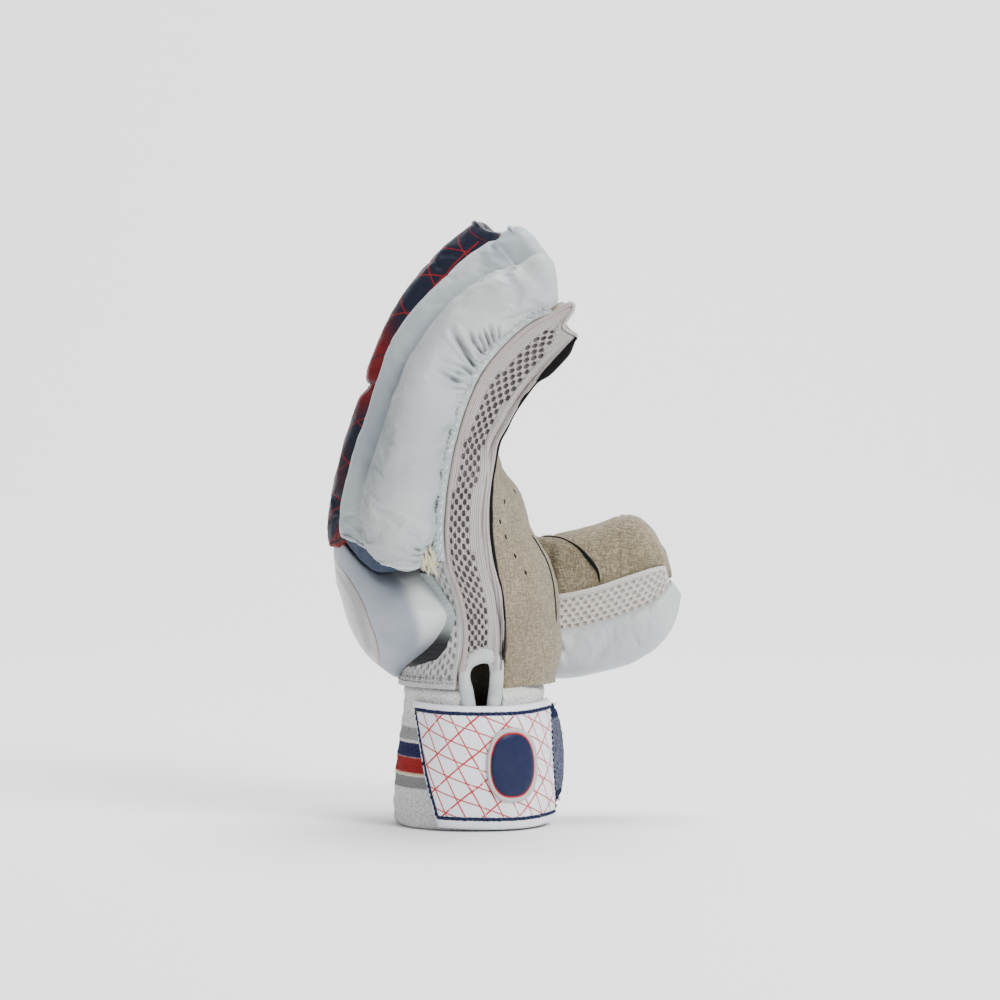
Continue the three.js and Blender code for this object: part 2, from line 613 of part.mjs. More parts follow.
// A point of the thumb from its station, its share of the height from the leather edge down, and its place across.
function thumbPlace(v, share, y) {
  const value = (column) => valueAt(THUMB, column, v, "v");
  const top = new THREE.Vector3(value("topX"), y, value("topZ"));
  const low = new THREE.Vector3(value("lowX"), y, value("lowZ"));
  return top.lerp(low, share);
}

function thumbHeight(v) {
  return thumbPlace(v, 0, 0).distanceTo(thumbPlace(v, 1, 0));
}

// One ring of the thumb's tube: its leather above and its sides down to the padding.
function thumbRing(v, wall, scale = 1) {
  const y = valueAt(THUMB, "y", v, "v");
  const half = valueAt(THUMB, "half", v, "v") - wall;
  const pad = valueAt(THUMB, "pad", v, "v") - 0.012;
  const inset = wall / thumbHeight(v);
  return steps(0, 4 * QUARTER, 14)
    .slice(0, -1)
    .map((angle) => {
      const up = (pad / 2 - inset) * signedPower(Math.sin(angle), 0.75) * scale;
      return thumbPlace(v, pad / 2 - up, y + half * signedPower(Math.cos(angle), 0.75) * scale);
    });
}

// The thumb's closed tip, drawn in towards a point past the last station.
function thumbTip(wall) {
  const last = THUMB.at(-1).v;
  const ring = thumbRing(last, wall);
  const middle = ring.reduce((sum, p) => sum.add(p), new THREE.Vector3()).divideScalar(ring.length);
  const forward = new THREE.Vector3(0.93, 0, -0.2).multiplyScalar(4.2 - wall);
  return [
    { past: 0.6, scale: 0.8 },
    { past: 1, scale: 0.4 },
  ].map((row) => ring.map((p) => p.clone().sub(middle).multiplyScalar(row.scale).add(middle).addScaledVector(forward, row.past)));
}

const THUMB_STEPS = [0, 1, 2, 3, 4, 4.8, 5.5, 6.1, 6.6];

function thumbShell(wall) {
  return [...THUMB_STEPS.map((v) => thumbRing(v, wall)), ...thumbTip(wall)];
}

function thumbTube() {
  return toSolid(loft([...thumbShell(WALL.finger).reverse(), ...thumbShell(0)]));
}

function thumbHollow() {
  return toSolid(loft(thumbShell(WALL.finger)));
}

function thumbRoll() {
  const ring = (v, scale) => {
    const y = valueAt(THUMB, "y", v, "v");
    const half = valueAt(THUMB, "half", v, "v") + THUMB_ROLL_EXTRA;
    const base = valueAt(THUMB, "pad", v, "v") + REST_GAP / thumbHeight(v);
    const waist = base + (1 - base) * 0.34;
    return steps(0, 4 * QUARTER, 14)
      .slice(0, -1)
      .map((angle) => {
        const down = -Math.sin(angle);
        const reach = down > 0 ? (1 - waist) * down ** 0.85 : (base - waist) * Math.abs(down) ** 0.5;
        return thumbPlace(v, waist + reach * scale, y + half * signedPower(Math.cos(angle), 0.75) * scale);
      });
  };
  const rings = steps(THUMB_ROLL_START, 6.6, 10).map((v) => ring(v, 1));
  const tip = rings.at(-1);
  const middle = tip.reduce((sum, p) => sum.add(p), new THREE.Vector3()).divideScalar(tip.length);
  const forward = new THREE.Vector3(0.95, 0, 0.1).multiplyScalar(3.4);
  const drawn = (past, scale) =>
    tip.map((p) => p.clone().sub(middle).multiplyScalar(scale).add(middle).addScaledVector(forward, past));
  return toSolid(loft([...rings, drawn(0.6, 0.8), drawn(1, 0.4)]));
}

// The strip of mesh on one side of the thumb, between its leather and its padding.
function thumbMesh(side) {
  const thickness = 1.3;
  const rings = steps(1.2, 6.5, 9).map((v) => {
    const y = valueAt(THUMB, "y", v, "v");
    const half = valueAt(THUMB, "half", v, "v") + 0.8;
    const high = valueAt(THUMB, "mesh", v, "v");
    const low = valueAt(THUMB, "pad", v, "v") - 0.004;
    const pad = low - 0.008;
    const point = (share, grow) => {
      const up = THREE.MathUtils.clamp((pad / 2 - share) / (pad / 2), -0.98, 0.98);
      const sine = signedPower(up, 1 / 0.75);
      const around = (1 - sine ** 2) ** (0.75 / 2);
      return thumbPlace(v, share, y + side * (half * around + grow));
    };
    const shares = steps(high, low - 0.04, 4);
    return [...shares.map((share) => point(share, thickness)), ...shares.map((share) => point(share, 0)).reverse()];
  });
  return toSolid(loft(rings));
}

const hand = handSolid(1);
const thumbInside = thumbHollow();
const halfGap = SEAM_GAP / 2;

addPiece("wristband", wristband(), COLOURS.terry);
addPiece("wrist_strap", strap(), COLOURS.whiteLeather);
addPiece("strap_tab", strapTab(), COLOURS.tab);
addPiece("strap_badge", badge(), COLOURS.badge);
addPiece("vent_binding", ventBinding(), COLOURS.whiteLeather);

const palmFrom = (u) => (u < VENT.topU ? edgeAngles.nearEdge(u, -2.4) : edgeAngles.nearEdge(u, -halfGap));
const palm = handPanel(HAND_LEVELS, 12, WALL.palm, palmFrom, (u) => edgeAngles.farEdge(u, -halfGap) + 4 * QUARTER);
addPiece("palm", toGeometry(toSolid(palm).subtract(thumbInside)), COLOURS.palmLeather);

const backFrom = (u) => edgeAngles.farSeam(u, halfGap);
const backTo = (u) => edgeAngles.nearSeam(u, halfGap);
addPiece("back_panel", handPanel(HAND_LEVELS, 12, WALL.mesh, backFrom, backTo), COLOURS.mesh);
addPiece("little_side_gusset", gusset(-1), COLOURS.mesh);
addPiece("index_side_gusset", gusset(1), COLOURS.mesh);

addPiece("knuckle_pad", backPad(), COLOURS.whiteLeather);
addPiece("knuckle_band", knuckleBand(), COLOURS.navyPrint);
addPiece("little_side_roll", sideRoll(-1, 22), COLOURS.whiteLeather);
addPiece("index_side_roll", sideRoll(1, 10), COLOURS.whiteLeather);

for (const finger of FINGERS) {
  addPiece(finger.name + "_finger", fingerTube(finger), COLOURS.palmLeather);
  const coloured = finger.name === "ring" || finger.name === "middle";
  if (!coloured) {
    const roll = fingerRoll(finger, ROLL_START_U, 13, 3, finger.rollTip, 13);
    addPiece(finger.name + "_roll", roll, COLOURS.whiteLeather);
    continue;
  }
  const [low, high] = ROLL_SPLITS;
  const parts = [
    { name: "low", from: ROLL_START_U, to: low - 0.16, start: 3, end: 1.8, count: 6 },
    { name: "middle", from: low, to: high - 0.1, start: 1.8, end: 1, count: 4 },
    { name: "tip", from: high, to: 13, start: 1, end: finger.rollTip, count: 3 },
  ];
  for (const part of parts) {
    const roll = fingerRoll(finger, part.from, part.to, part.start, part.end, part.count);
    addPiece(finger.name + "_roll_" + part.name, roll, COLOURS.navyPrint);
  }
}

addPiece("thumb", toGeometry(thumbTube().subtract(hand)), COLOURS.palmLeather);
addPiece("thumb_roll", toGeometry(thumbRoll().subtract(hand)), COLOURS.whiteLeather);
addPiece("thumb_mesh_near", toGeometry(thumbMesh(-1).subtract(hand)), COLOURS.mesh);
addPiece("thumb_mesh_far", toGeometry(thumbMesh(1).subtract(hand)), COLOURS.mesh);

// The glove stands with the middle of its outline over the origin.
const bounds = new THREE.Box3().setFromObject(glove);
glove.position.set(-(bounds.min.x + bounds.max.x) / 2, -(bounds.min.y + bounds.max.y) / 2, -bounds.min.z);

export default glove;
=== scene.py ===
import bpy
import math
import numpy as np
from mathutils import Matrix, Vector, noise


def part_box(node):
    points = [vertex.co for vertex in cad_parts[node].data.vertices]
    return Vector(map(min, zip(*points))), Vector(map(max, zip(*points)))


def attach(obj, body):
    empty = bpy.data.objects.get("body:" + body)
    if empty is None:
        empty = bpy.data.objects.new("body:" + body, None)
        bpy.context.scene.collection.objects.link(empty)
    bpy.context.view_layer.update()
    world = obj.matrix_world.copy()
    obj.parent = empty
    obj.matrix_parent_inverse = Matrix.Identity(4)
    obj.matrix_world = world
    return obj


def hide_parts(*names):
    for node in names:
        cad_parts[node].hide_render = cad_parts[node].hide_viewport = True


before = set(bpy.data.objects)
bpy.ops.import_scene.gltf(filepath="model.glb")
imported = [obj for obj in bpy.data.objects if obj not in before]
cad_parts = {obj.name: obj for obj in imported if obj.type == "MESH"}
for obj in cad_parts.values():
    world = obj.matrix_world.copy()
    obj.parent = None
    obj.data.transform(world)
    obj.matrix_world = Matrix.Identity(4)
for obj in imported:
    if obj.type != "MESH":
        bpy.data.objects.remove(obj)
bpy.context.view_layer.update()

wristLow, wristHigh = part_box("wristband")
shiftX = (wristLow[0] + wristHigh[0]) * 500 + 3.5  # the tables have the wrist's middle at x = -3.5 mm
shiftY = (wristLow[1] + wristHigh[1]) * 500
rng = np.random.default_rng(11)
quarter = math.pi / 2

# the glove's own coordinates, in mm: u runs from the wrist to the fingertips, height from the palm edge to the back
stations = {
    "u": [0, 1, 2, 3, 4, 5, 6, 7, 8, 9, 10, 11, 12, 13],
    "palmX": [8, 9, 9.7, 8.5, 5.3, 3.6, 3.4, 4.5, 7, 12.9, 20.6, 28.9, 35.7, 40],
    "palmZ": [59.2, 71.1, 85.7, 98.3, 110.9, 123.5, 136.1, 147.8, 159.4, 170.6, 181.8, 191.5, 198.8, 203.6],
    "backX": [-36, -45, -54.5, -59, -63, -64.2, -62.8, -59.4, -54.5, -49, -42, -30, -14.5, 0],
    "backZ": [58.6, 69.3, 83.4, 96.8, 110.8, 124.8, 138.8, 152.8, 168.8, 187.8, 206.8, 226.8, 244.3, 255.8],
}
hand = {
    "u": [0, 1, 2, 3, 4, 5, 6, 7, 8, 8.4],
    "half": [40, 43.5, 47, 49.5, 51, 52, 52.6, 53, 53, 53],
    "back": [43, 42.5, 41.5, 39.5, 39, 38.6, 38.6, 38.6, 38.6, 38.6],
    "backDrop": [9, 10, 11, 11, 10, 9, 9, 9, 9, 9],
    "palm": [-20.5, -24, -23.6, -24.5, -24.3, -21, -17.5, -10, 0.5, 4.4],
    "palmDrop": [15, 22, 23, 24, 24, 20, 16.5, 9, -3.5, -8.5],
    "corner": [0.9, 0.8, 0.7, 0.62, 0.56, 0.5, 0.46, 0.42, 0.4, 0.4],
}
sideSeam = {
    "u": [0, 0.55, 1.1, 1.65, 3, 4, 5, 6, 8, 9, 10, 11, 12, 13],
    "height": [17.8, 17.9, 16.6, 16.2, 17.3, 18.6, 18.2, 17.2, 16.7, 19, 21.2, 20.8, 18.4, 14],
}
palmEdge = {"u": [0, 2, 4, 7, 8.3, 9.5, 13], "height": [-0.6, -0.9, -1.1, -1.3, -1.0, 0.2, 0.6]}
handTop = 8.3
ventTop = 1.65


def smooth(table, column, at):  # a column of a table as a smooth curve
    xs = np.array(table[next(iter(table))], float)
    ys = np.array(table[column], float)
    slopes = np.empty_like(ys)
    slopes[1:-1] = (ys[2:] - ys[:-2]) / (xs[2:] - xs[:-2])
    slopes[0] = (ys[1] - ys[0]) / (xs[1] - xs[0])
    slopes[-1] = (ys[-1] - ys[-2]) / (xs[-1] - xs[-2])
    at = np.asarray(at, float)
    i = np.clip(np.searchsorted(xs, at, side="right") - 1, 0, len(xs) - 2)
    span = xs[i + 1] - xs[i]
    t = np.clip((at - xs[i]) / span, 0, 1)
    t2, t3 = t * t, t * t * t
    return ((2 * t3 - 3 * t2 + 1) * ys[i] + (t3 - 2 * t2 + t) * span * slopes[i]
            + (3 * t2 - 2 * t3) * ys[i + 1] + (t3 - t2) * span * slopes[i + 1])


def signedPower(value, power):
    return np.sign(value) * np.abs(value) ** power


def easeBetween(value, low, high):
    t = np.clip((np.asarray(value, float) - low) / (high - low), 0, 1)
    return t * t * (3 - 2 * t)


def toRow(x, y, z):  # from the tables' millimetres to the row frame's metres
    x, y, z = np.broadcast_arrays(x, y, z)
    return np.stack([x + shiftX, y + shiftY, z], axis=-1) / 1000


def place(u, height, y, past=0.0):
    palmX, palmZ = smooth(stations, "palmX", u), smooth(stations, "palmZ", u)
    dx, dz = smooth(stations, "backX", u) - palmX, smooth(stations, "backZ", u) - palmZ
    size = np.hypot(dx, dz)
    dx, dz = dx / size, dz / size
    return toRow(palmX + dx * height + dz * past, y, palmZ + dz * height - dx * past)


def backHeight(u):
    return np.hypot(smooth(stations, "backX", u) - smooth(stations, "palmX", u),
                    smooth(stations, "backZ", u) - smooth(stations, "palmZ", u))


def handOutline(u, angle):
    half, corner = smooth(hand, "half", u), smooth(hand, "corner", u)
    y = half * signedPower(np.cos(angle), corner)
    back = smooth(hand, "back", u) - smooth(hand, "backDrop", u) * ((y - 8) / 46) ** 2
    palm = smooth(hand, "palm", u) + smooth(hand, "palmDrop", u) * (y / half) ** 2
    return y, (back + palm) / 2 + (back - palm) / 2 * signedPower(np.sin(angle), corner)


def handPoint(u, angle, outward=0.0, past=0.0):  # a point of the hand's wall, moved outwards from it
    y, height = handOutline(u, angle)
    y1, h1 = handOutline(u, angle - 0.02)
    y2, h2 = handOutline(u, angle + 0.02)
    dy, dh = y2 - y1, h2 - h1
    size = np.hypot(dy, dh)
    return place(u, height - dy / size * outward, y + dh / size * outward, past)


def seamHeight(u):
    return smooth(sideSeam, "height", u)


def angleAtHeight(u, height, start, stop):  # where the outline first crosses a height
    walk = np.linspace(start, stop, 400)
    heights = handOutline(u, walk)[1]
    above = heights > height
    i = int(np.argmax(above != above[0]))
    share = (height - heights[i - 1]) / (heights[i] - heights[i - 1])
    return walk[i - 1] + (walk[i] - walk[i - 1]) * share


def softNoise(points, size, seed=0):  # smooth noise from -1 to 1 at points in metres, with lumps of a size in mm
    scale = 1000 / size
    flat = points.reshape(-1, 3)
    out = [noise.noise(Vector((p[0] * scale + seed * 17.3, p[1] * scale, p[2] * scale))) for p in flat]
    return np.array(out).reshape(points.shape[:-1])


def gridNormals(grid, wrapColumns):
    along = np.gradient(grid, axis=0)
    if wrapColumns:
        across = (np.roll(grid, -1, axis=1) - np.roll(grid, 1, axis=1)) / 2
    else:
        across = np.gradient(grid, axis=1)
    normal = np.cross(across, along)
    return normal / np.maximum(np.linalg.norm(normal, axis=-1, keepdims=True), 1e-12)


def surfaceSampler(grid):  # gives the point and normal of a grid of points at shares of its rows and columns
    normals = gridNormals(grid, False)
    rows, columns = grid.shape[:2]

    def at(s, t):
        r, c = np.clip(s, 0, 1) * (rows - 1), np.clip(t, 0, 1) * (columns - 1)
        i, j = np.minimum(r.astype(int), rows - 2), np.minimum(c.astype(int), columns - 2)
        fr, fc = (r - i)[..., None], (c - j)[..., None]

        def blend(a):
            return ((a[i, j] * (1 - fc) + a[i, j + 1] * fc) * (1 - fr)
                    + (a[i + 1, j] * (1 - fc) + a[i + 1, j + 1] * fc) * fr)

        normal = blend(normals)
        return blend(grid), normal / np.maximum(np.linalg.norm(normal, axis=-1, keepdims=True), 1e-9)

    return at


def gridQuads(rows, columns, wrapColumns=False, wrapRows=False, keep=None, start=0):
    r = np.arange(rows if wrapRows else rows - 1)
    c = np.arange(columns if wrapColumns else columns - 1)
    rr, cc = np.meshgrid(r, c, indexing="ij")
    if keep is not None:
        rr, cc = rr[keep], cc[keep]
    r2, c2 = (rr + 1) % rows, (cc + 1) % columns
    quads = np.stack([rr * columns + cc, rr * columns + c2, r2 * columns + c2, r2 * columns + cc], axis=-1)
    return quads.reshape(-1, 4) + start


def signedVolume(points, faces):
    total = 0.0
    for size in {len(face) for face in faces}:
        some = np.array([face for face in faces if len(face) == size])
        for k in range(1, size - 1):
            total += (points[some[:, 0]] * np.cross(points[some[:, k]], points[some[:, k + 1]])).sum()
    return total


def makeMesh(name, points, faces, attributes=None, closed=True):
    points = np.asarray(points, float).reshape(-1, 3)
    if closed and signedVolume(points, faces) < 0:
        faces = [tuple(face)[::-1] for face in faces]
    mesh = bpy.data.meshes.new(name)
    mesh.from_pydata(points.tolist(), [], [tuple(int(i) for i in face) for face in faces])
    mesh.polygons.foreach_set("use_smooth", [True] * len(mesh.polygons))
    for key, values in (attributes or {}).items():
        values = np.asarray(values, np.float32)
        if values.ndim == 2:
            mesh.attributes.new(key, "FLOAT_VECTOR", "POINT").data.foreach_set("vector", values.ravel())
        else:
            mesh.attributes.new(key, "FLOAT", "POINT").data.foreach_set("value", values.ravel())
    mesh.update()
    return mesh


def addPiece(name, mesh, materials, nodes=(), body="root"):
    piece = bpy.data.objects.new(name, mesh)
    bpy.context.scene.collection.objects.link(piece)
    for material in materials if isinstance(materials, (list, tuple)) else [materials]:
        mesh.materials.append(material)
    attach(piece, body)
    if nodes:
        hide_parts(*nodes)
    return piece


def addModifier(piece, kind, **settings):
    modifier = piece.modifiers.new(kind.title(), kind)
    for key, value in settings.items():
        setattr(modifier, key, value)
    return modifier


def closedLoft(name, rings, attributes=None):  # rings of equally many points, closed at both ends by fans
    rows, columns = rings.shape[:2]
    points = np.concatenate([rings.reshape(-1, 3), [rings[0].mean(axis=0)], [rings[-1].mean(axis=0)]])
    faces = [tuple(q) for q in gridQuads(rows, columns, wrapColumns=True)]
    first, last = rows * columns, rows * columns + 1
    top = (rows - 1) * columns
    for k in range(columns):
        n = (k + 1) % columns
        faces += [(first, n, k), (last, top + k, top + n)]
    extra = {}
    for key, values in (attributes or {}).items():
        flat = values.reshape(rows * columns, -1)
        ends = [values[0].reshape(columns, -1).mean(axis=0), values[-1].reshape(columns, -1).mean(axis=0)]
        flat = np.concatenate([flat, ends])
        extra[key] = flat if flat.shape[1] == 3 else flat[:, 0]
    return makeMesh(name, points, faces, extra)


def shellMesh(name, outer, inner, keep=None, wrap=False, attributes=None):  # a wall between two grids of points
    rows, columns = outer.shape[:2]
    cells = columns if wrap else columns - 1
    if keep is None:
        keep = np.ones((rows - 1, cells), bool)
    count = rows * columns
    faces = [tuple(q) for q in gridQuads(rows, columns, wrapColumns=wrap, keep=keep)]
    faces += [tuple(q[::-1] + count) for q in gridQuads(rows, columns, wrapColumns=wrap, keep=keep)]

    def wall(a, b):
        faces.append((b, a, a + count, b + count))

    for r in range(rows - 1):
        for c in range(cells):
            if not keep[r, c]:
                continue
            n = (c + 1) % columns
            if r == 0 or not keep[r - 1, c]:
                wall(r * columns + c, r * columns + n)
            if r == rows - 2 or not keep[r + 1, c]:
                wall((r + 1) * columns + n, (r + 1) * columns + c)
            left, right = (c - 1) % cells, (c + 1) % cells
            if (not wrap and c == 0) or not keep[r, left]:
                wall((r + 1) * columns + c, r * columns + c)
            if (not wrap and c == cells - 1) or not keep[r, right]:
                wall(r * columns + n, (r + 1) * columns + n)
    points = np.concatenate([outer.reshape(-1, 3), inner.reshape(-1, 3)])
    used = np.zeros(len(points), bool)
    for face in faces:
        used[list(face)] = True
    index = np.cumsum(used) - 1
    faces = [tuple(index[i] for i in face) for face in faces]
    extra = {}
    for key, values in (attributes or {}).items():
        flat = values.reshape(count, -1)
        flat = np.concatenate([flat, flat])[used]
        extra[key] = flat if flat.shape[1] == 3 else flat[:, 0]
    return makeMesh(name, points[used], faces, extra)


def tubePoints(path, radii, sides, flatten=1.0, up=None):  # rings round a path of points
    path = np.asarray(path, float)
    tangent = np.gradient(path, axis=0)
    tangent /= np.linalg.norm(tangent, axis=1, keepdims=True)
    up = np.array([0, -1.0, 0]) if up is None else np.asarray(up, float)
    up = np.broadcast_to(up, path.shape)
    side = np.cross(tangent, up)
    side /= np.maximum(np.linalg.norm(side, axis=1, keepdims=True), 1e-9)
    lift = np.cross(side, tangent)
    angles = np.linspace(0, 4 * quarter, sides, endpoint=False)
    radii = np.broadcast_to(np.asarray(radii, float), (len(path),))
    ring = (side[:, None] * np.cos(angles)[None, :, None]
            + lift[:, None] * np.sin(angles)[None, :, None] * flatten)
    return path[:, None] + ring * radii[:, None, None]


def loopTube(path, radius, sides=8, flatten=1.0):  # a tube round a closed path
    path = np.asarray(path, float)
    tangent = np.roll(path, -1, axis=0) - np.roll(path, 1, axis=0)
    tangent /= np.maximum(np.linalg.norm(tangent, axis=1, keepdims=True), 1e-12)
    out = path - path.mean(axis=0)
    out -= tangent * (out * tangent).sum(axis=1, keepdims=True)
    out /= np.maximum(np.linalg.norm(out, axis=1, keepdims=True), 1e-9)
    side = np.cross(tangent, out)
    angles = np.linspace(0, 4 * quarter, sides, endpoint=False)
    ring = out[:, None] * np.cos(angles)[None, :, None] + side[:, None] * np.sin(angles)[None, :, None] * flatten
    points = path[:, None] + ring * np.broadcast_to(radius, (len(path),))[:, None, None]
    return points.reshape(-1, 3), [tuple(q) for q in gridQuads(len(path), sides, wrapColumns=True, wrapRows=True)]


def settledCloth(rings, pins, pressure=4.0, spare=0.03, cap=0.002):
    # lets a padded tube's cover settle as cloth blown up from inside, and returns how far each point moved
    rows, columns = rings.shape[:2]
    r = np.unique(np.linspace(0, rows - 1, min(rows, 110)).round().astype(int))
    c = np.arange(0, columns, max(1, columns // 60))
    coarse = rings[np.ix_(r, c)]
    mesh = closedLoft("settling", coarse)
    cloth = bpy.data.objects.new("settling", mesh)
    bpy.context.scene.collection.objects.link(cloth)
    weights = np.append(np.broadcast_to(pins, (rows, columns))[np.ix_(r, c)].ravel(), [1, 1])
    group = cloth.vertex_groups.new(name="pins")
    for k, weight in enumerate(weights):
        group.add([k], float(weight), "REPLACE")
    cover = cloth.modifiers.new("Cloth", "CLOTH")
    settings = cover.settings
    settings.quality, settings.mass, settings.air_damping = 5, 0.25, 3
    settings.tension_stiffness = settings.compression_stiffness = 12
    settings.shear_stiffness, settings.bending_stiffness = 4, 0.3
    settings.use_pressure, settings.uniform_pressure_force = True, pressure
    settings.vertex_group_mass = "pins"
    settings.pin_stiffness = 1
    settings.shrink_min = -spare
    settings.effector_weights.gravity = 0
    cover.collision_settings.use_collision = False
    for step in range(1, 19):
        bpy.context.scene.frame_set(step)
    settled = cloth.evaluated_get(bpy.context.evaluated_depsgraph_get()).to_mesh()
    flat = np.empty(len(settled.vertices) * 3)
    settled.vertices.foreach_get("co", flat)
    moved = flat.reshape(-1, 3)[:coarse.size // 3].reshape(coarse.shape) - coarse
    bpy.context.scene.frame_set(1)
    bpy.data.objects.remove(cloth)
    size = np.linalg.norm(moved, axis=-1, keepdims=True)
    moved = np.nan_to_num(moved / np.maximum(size, 1e-9)) * np.tanh(np.nan_to_num(size) / cap) * cap
    wide = np.concatenate([moved, moved[:, :1]], axis=1)
    atColumns = np.append(c, columns)
    out = np.empty((rows, columns, 3))
    for k in range(3):
        byColumn = np.array([np.interp(np.arange(columns), atColumns, line) for line in wide[..., k]])
        out[..., k] = np.array([np.interp(np.arange(rows), r, line) for line in byColumn.T]).T
    return out


def alongPath(path, distances):  # points at distances along a polyline
    steps = np.linalg.norm(np.diff(path, axis=0), axis=1)
    reach = np.concatenate([[0], np.cumsum(steps)])
    return np.stack([np.interp(distances, reach, path[:, k]) for k in range(3)], axis=1)


def pathLength(path):
    return float(np.linalg.norm(np.diff(path, axis=0), axis=1).sum())


def stitchMesh(name, path, up, pitch, length, radius, wobble=0.0, slant=0.0):  # short thread stitches along a path
    total = pathLength(path)
    points, faces = [], []
    sides, rings = 6, 5
    starts = np.arange(pitch * 0.3, total - length, pitch)
    upPath = np.broadcast_to(np.asarray(up, float), path.shape)
    for s in starts:
        shares = np.linspace(0, 1, rings)
        line = alongPath(path, s + shares * length)
        i = min(int(s / total * (len(path) - 1)), len(path) - 1)
        normal = upPath[i] / np.linalg.norm(upPath[i])
        tangent = line[-1] - line[0]
        tangent /= np.linalg.norm(tangent)
        sideways = np.cross(tangent, normal)
        shift = rng.normal(0, 1) * wobble
        line = line + sideways * (shift + (shares[:, None] - 0.5) * slant * length)
        line = line + normal * (radius * 1.3 * np.sin(np.pi * shares)[:, None] - radius * 0.5)
        size = radius * np.array([0.45, 0.95, 1.05, 0.95, 0.45])
        tube = tubePoints(line, size, sides, up=normal)
        base = rings * sides * len(points)
        points.append(tube.reshape(-1, 3))
        faces += [tuple(q) for q in gridQuads(rings, sides, wrapColumns=True, start=base)]
        faces.append(tuple(base + k for k in range(sides))[::-1])
        faces.append(tuple(base + (rings - 1) * sides + k for k in range(sides)))
    return makeMesh(name, np.concatenate(points), faces, closed=True)


# materials


class Nodes:  # a short hand for building one material's nodes
    def __init__(self, name, roughness=0.6, **inputs):
        self.material = bpy.data.materials.new(name)
        self.material.use_nodes = True
        self.tree = self.material.node_tree
        self.shader = self.tree.nodes["Principled BSDF"]
        self.shader.inputs["Roughness"].default_value = roughness
        for key, value in inputs.items():
            self.shader.inputs[key].default_value = value
        self.coordinates = self.add("ShaderNodeTexCoord").outputs["Object"]

    def add(self, kind, inputs=None, **settings):
        node = self.tree.nodes.new(kind)
        for key, value in settings.items():
            setattr(node, key, value)
        for key, value in (inputs or {}).items():
            self.feed(node.inputs[key], value)
        return node

    def feed(self, socket, value):
        if isinstance(value, bpy.types.NodeSocket):
            self.tree.links.new(value, socket)
        else:
            socket.default_value = value

    def math(self, operation, a, b=0.0, c=0.0, clamp=False):
        node = self.add("ShaderNodeMath", operation=operation, use_clamp=clamp)
        for socket, value in zip(node.inputs, (a, b, c)):
            self.feed(socket, value)
        return node.outputs[0]

    def noise(self, scale, detail=2.0, rough=0.5, at=None, stretch=None):
        vector = at or self.coordinates
        if stretch:
            vector = self.add("ShaderNodeMapping", {"Vector": vector, "Scale": stretch}).outputs[0]
        node = self.add("ShaderNodeTexNoise", {"Vector": vector, "Scale": scale, "Detail": detail, "Roughness": rough})
        return node.outputs["Fac"]

    def cells(self, scale, feature="F1", at=None, smoothness=None):
        inputs = {"Vector": at or self.coordinates, "Scale": scale}
        node = self.add("ShaderNodeTexVoronoi", inputs, feature=feature)
        return node.outputs["Distance"]

    def ramp(self, value, low, high, start=0.0, stop=1.0):
        node = self.add("ShaderNodeMapRange", {"Value": value, "From Min": low, "From Max": high, "To Min": start,
                                               "To Max": stop}, interpolation_type="SMOOTHSTEP")
        return node.outputs[0]

    def mix(self, share, a, b):
        node = self.add("ShaderNodeMix", data_type="RGBA")
        self.feed(node.inputs[0], share)
        self.feed(node.inputs[6], a)
        self.feed(node.inputs[7], b)
        return node.outputs[2]

    def attribute(self, name):
        return self.add("ShaderNodeAttribute", attribute_name=name)

    def split(self, vector):
        return self.add("ShaderNodeSeparateXYZ", {"Vector": vector}).outputs

    def bump(self, height, distance, strength=1.0, after=None):
        inputs = {"Height": height, "Distance": distance, "Strength": strength}
        if after is not None:
            inputs["Normal"] = after
        return self.add("ShaderNodeBump", inputs).outputs[0]

    def finish(self, colour=None, roughness=None, normal=None):
        if colour is not None:
            self.feed(self.shader.inputs["Base Color"], colour)
        if roughness is not None:
            self.feed(self.shader.inputs["Roughness"], roughness)
        if normal is not None:
            self.feed(self.shader.inputs["Normal"], normal)
        return self.material


leather = {
    "cool": (0.36, 0.4, 0.43, 1),
    "warm": (0.46, 0.485, 0.48, 1),
    "grain": 1150.0,  # cells per metre
    "roughness": (0.42, 0.6),
}


def leatherMaterial(name, cool, warm, wrinkle=1.0):
    m = Nodes(name, **{"Specular IOR Level": 0.42})
    broad = m.noise(28, 3)
    tone = m.mix(m.ramp(broad, 0.35, 0.68), cool, warm)
    pores = m.cells(leather["grain"])
    tone = m.mix(m.ramp(pores, 0.55, 0.95, 0, 0.16), tone, (0.32, 0.35, 0.37, 1))
    # painted shade: a point attribute darkens the leather where the side roll is creased, along its crest and over its
    # lower half
    tone = m.mix(m.math("MULTIPLY", m.attribute("creaseAndPaintedShade").outputs["Fac"], 0.75), tone, (0.13, 0.145, 0.15, 1))
    creases = m.noise(240, 4, 0.6, stretch=(1, 1, 0.45))
    first = m.bump(pores, 0.00018, 0.35)
    second = m.bump(creases, 0.0006, 0.32 * wrinkle, first)
    third = m.bump(m.noise(60, 3, 0.55), 0.0016, 0.3 * wrinkle, second)
    rough = m.ramp(m.noise(400, 2), 0.3, 0.7, *leather["roughness"])
    return m.finish(tone, rough, third)


whiteLeather = leatherMaterial("whiteLeather", leather["cool"], leather["warm"])
# painted shade: a darker copy of the white leather, for the little and index finger rolls, which face away from the key
# light
shadedFingerLeather = leatherMaterial("shadedFingerLeather", (0.29, 0.33, 0.365, 1), (0.4, 0.44, 0.45, 1))
flangeLeather = leatherMaterial("flangeLeather", (0.29, 0.34, 0.335, 1), (0.42, 0.46, 0.455, 1))

printColours = {
    "navy": (0.0012, 0.0035, 0.016, 1),
    "deepNavy": (0.001, 0.003, 0.012, 1),
    "red": (0.13, 0.001, 0.004, 1),
    "brightRed": (0.2, 0.0015, 0.004, 1),
    "lineEvery": 12.5,
    "lineWidth": 0.28,
}


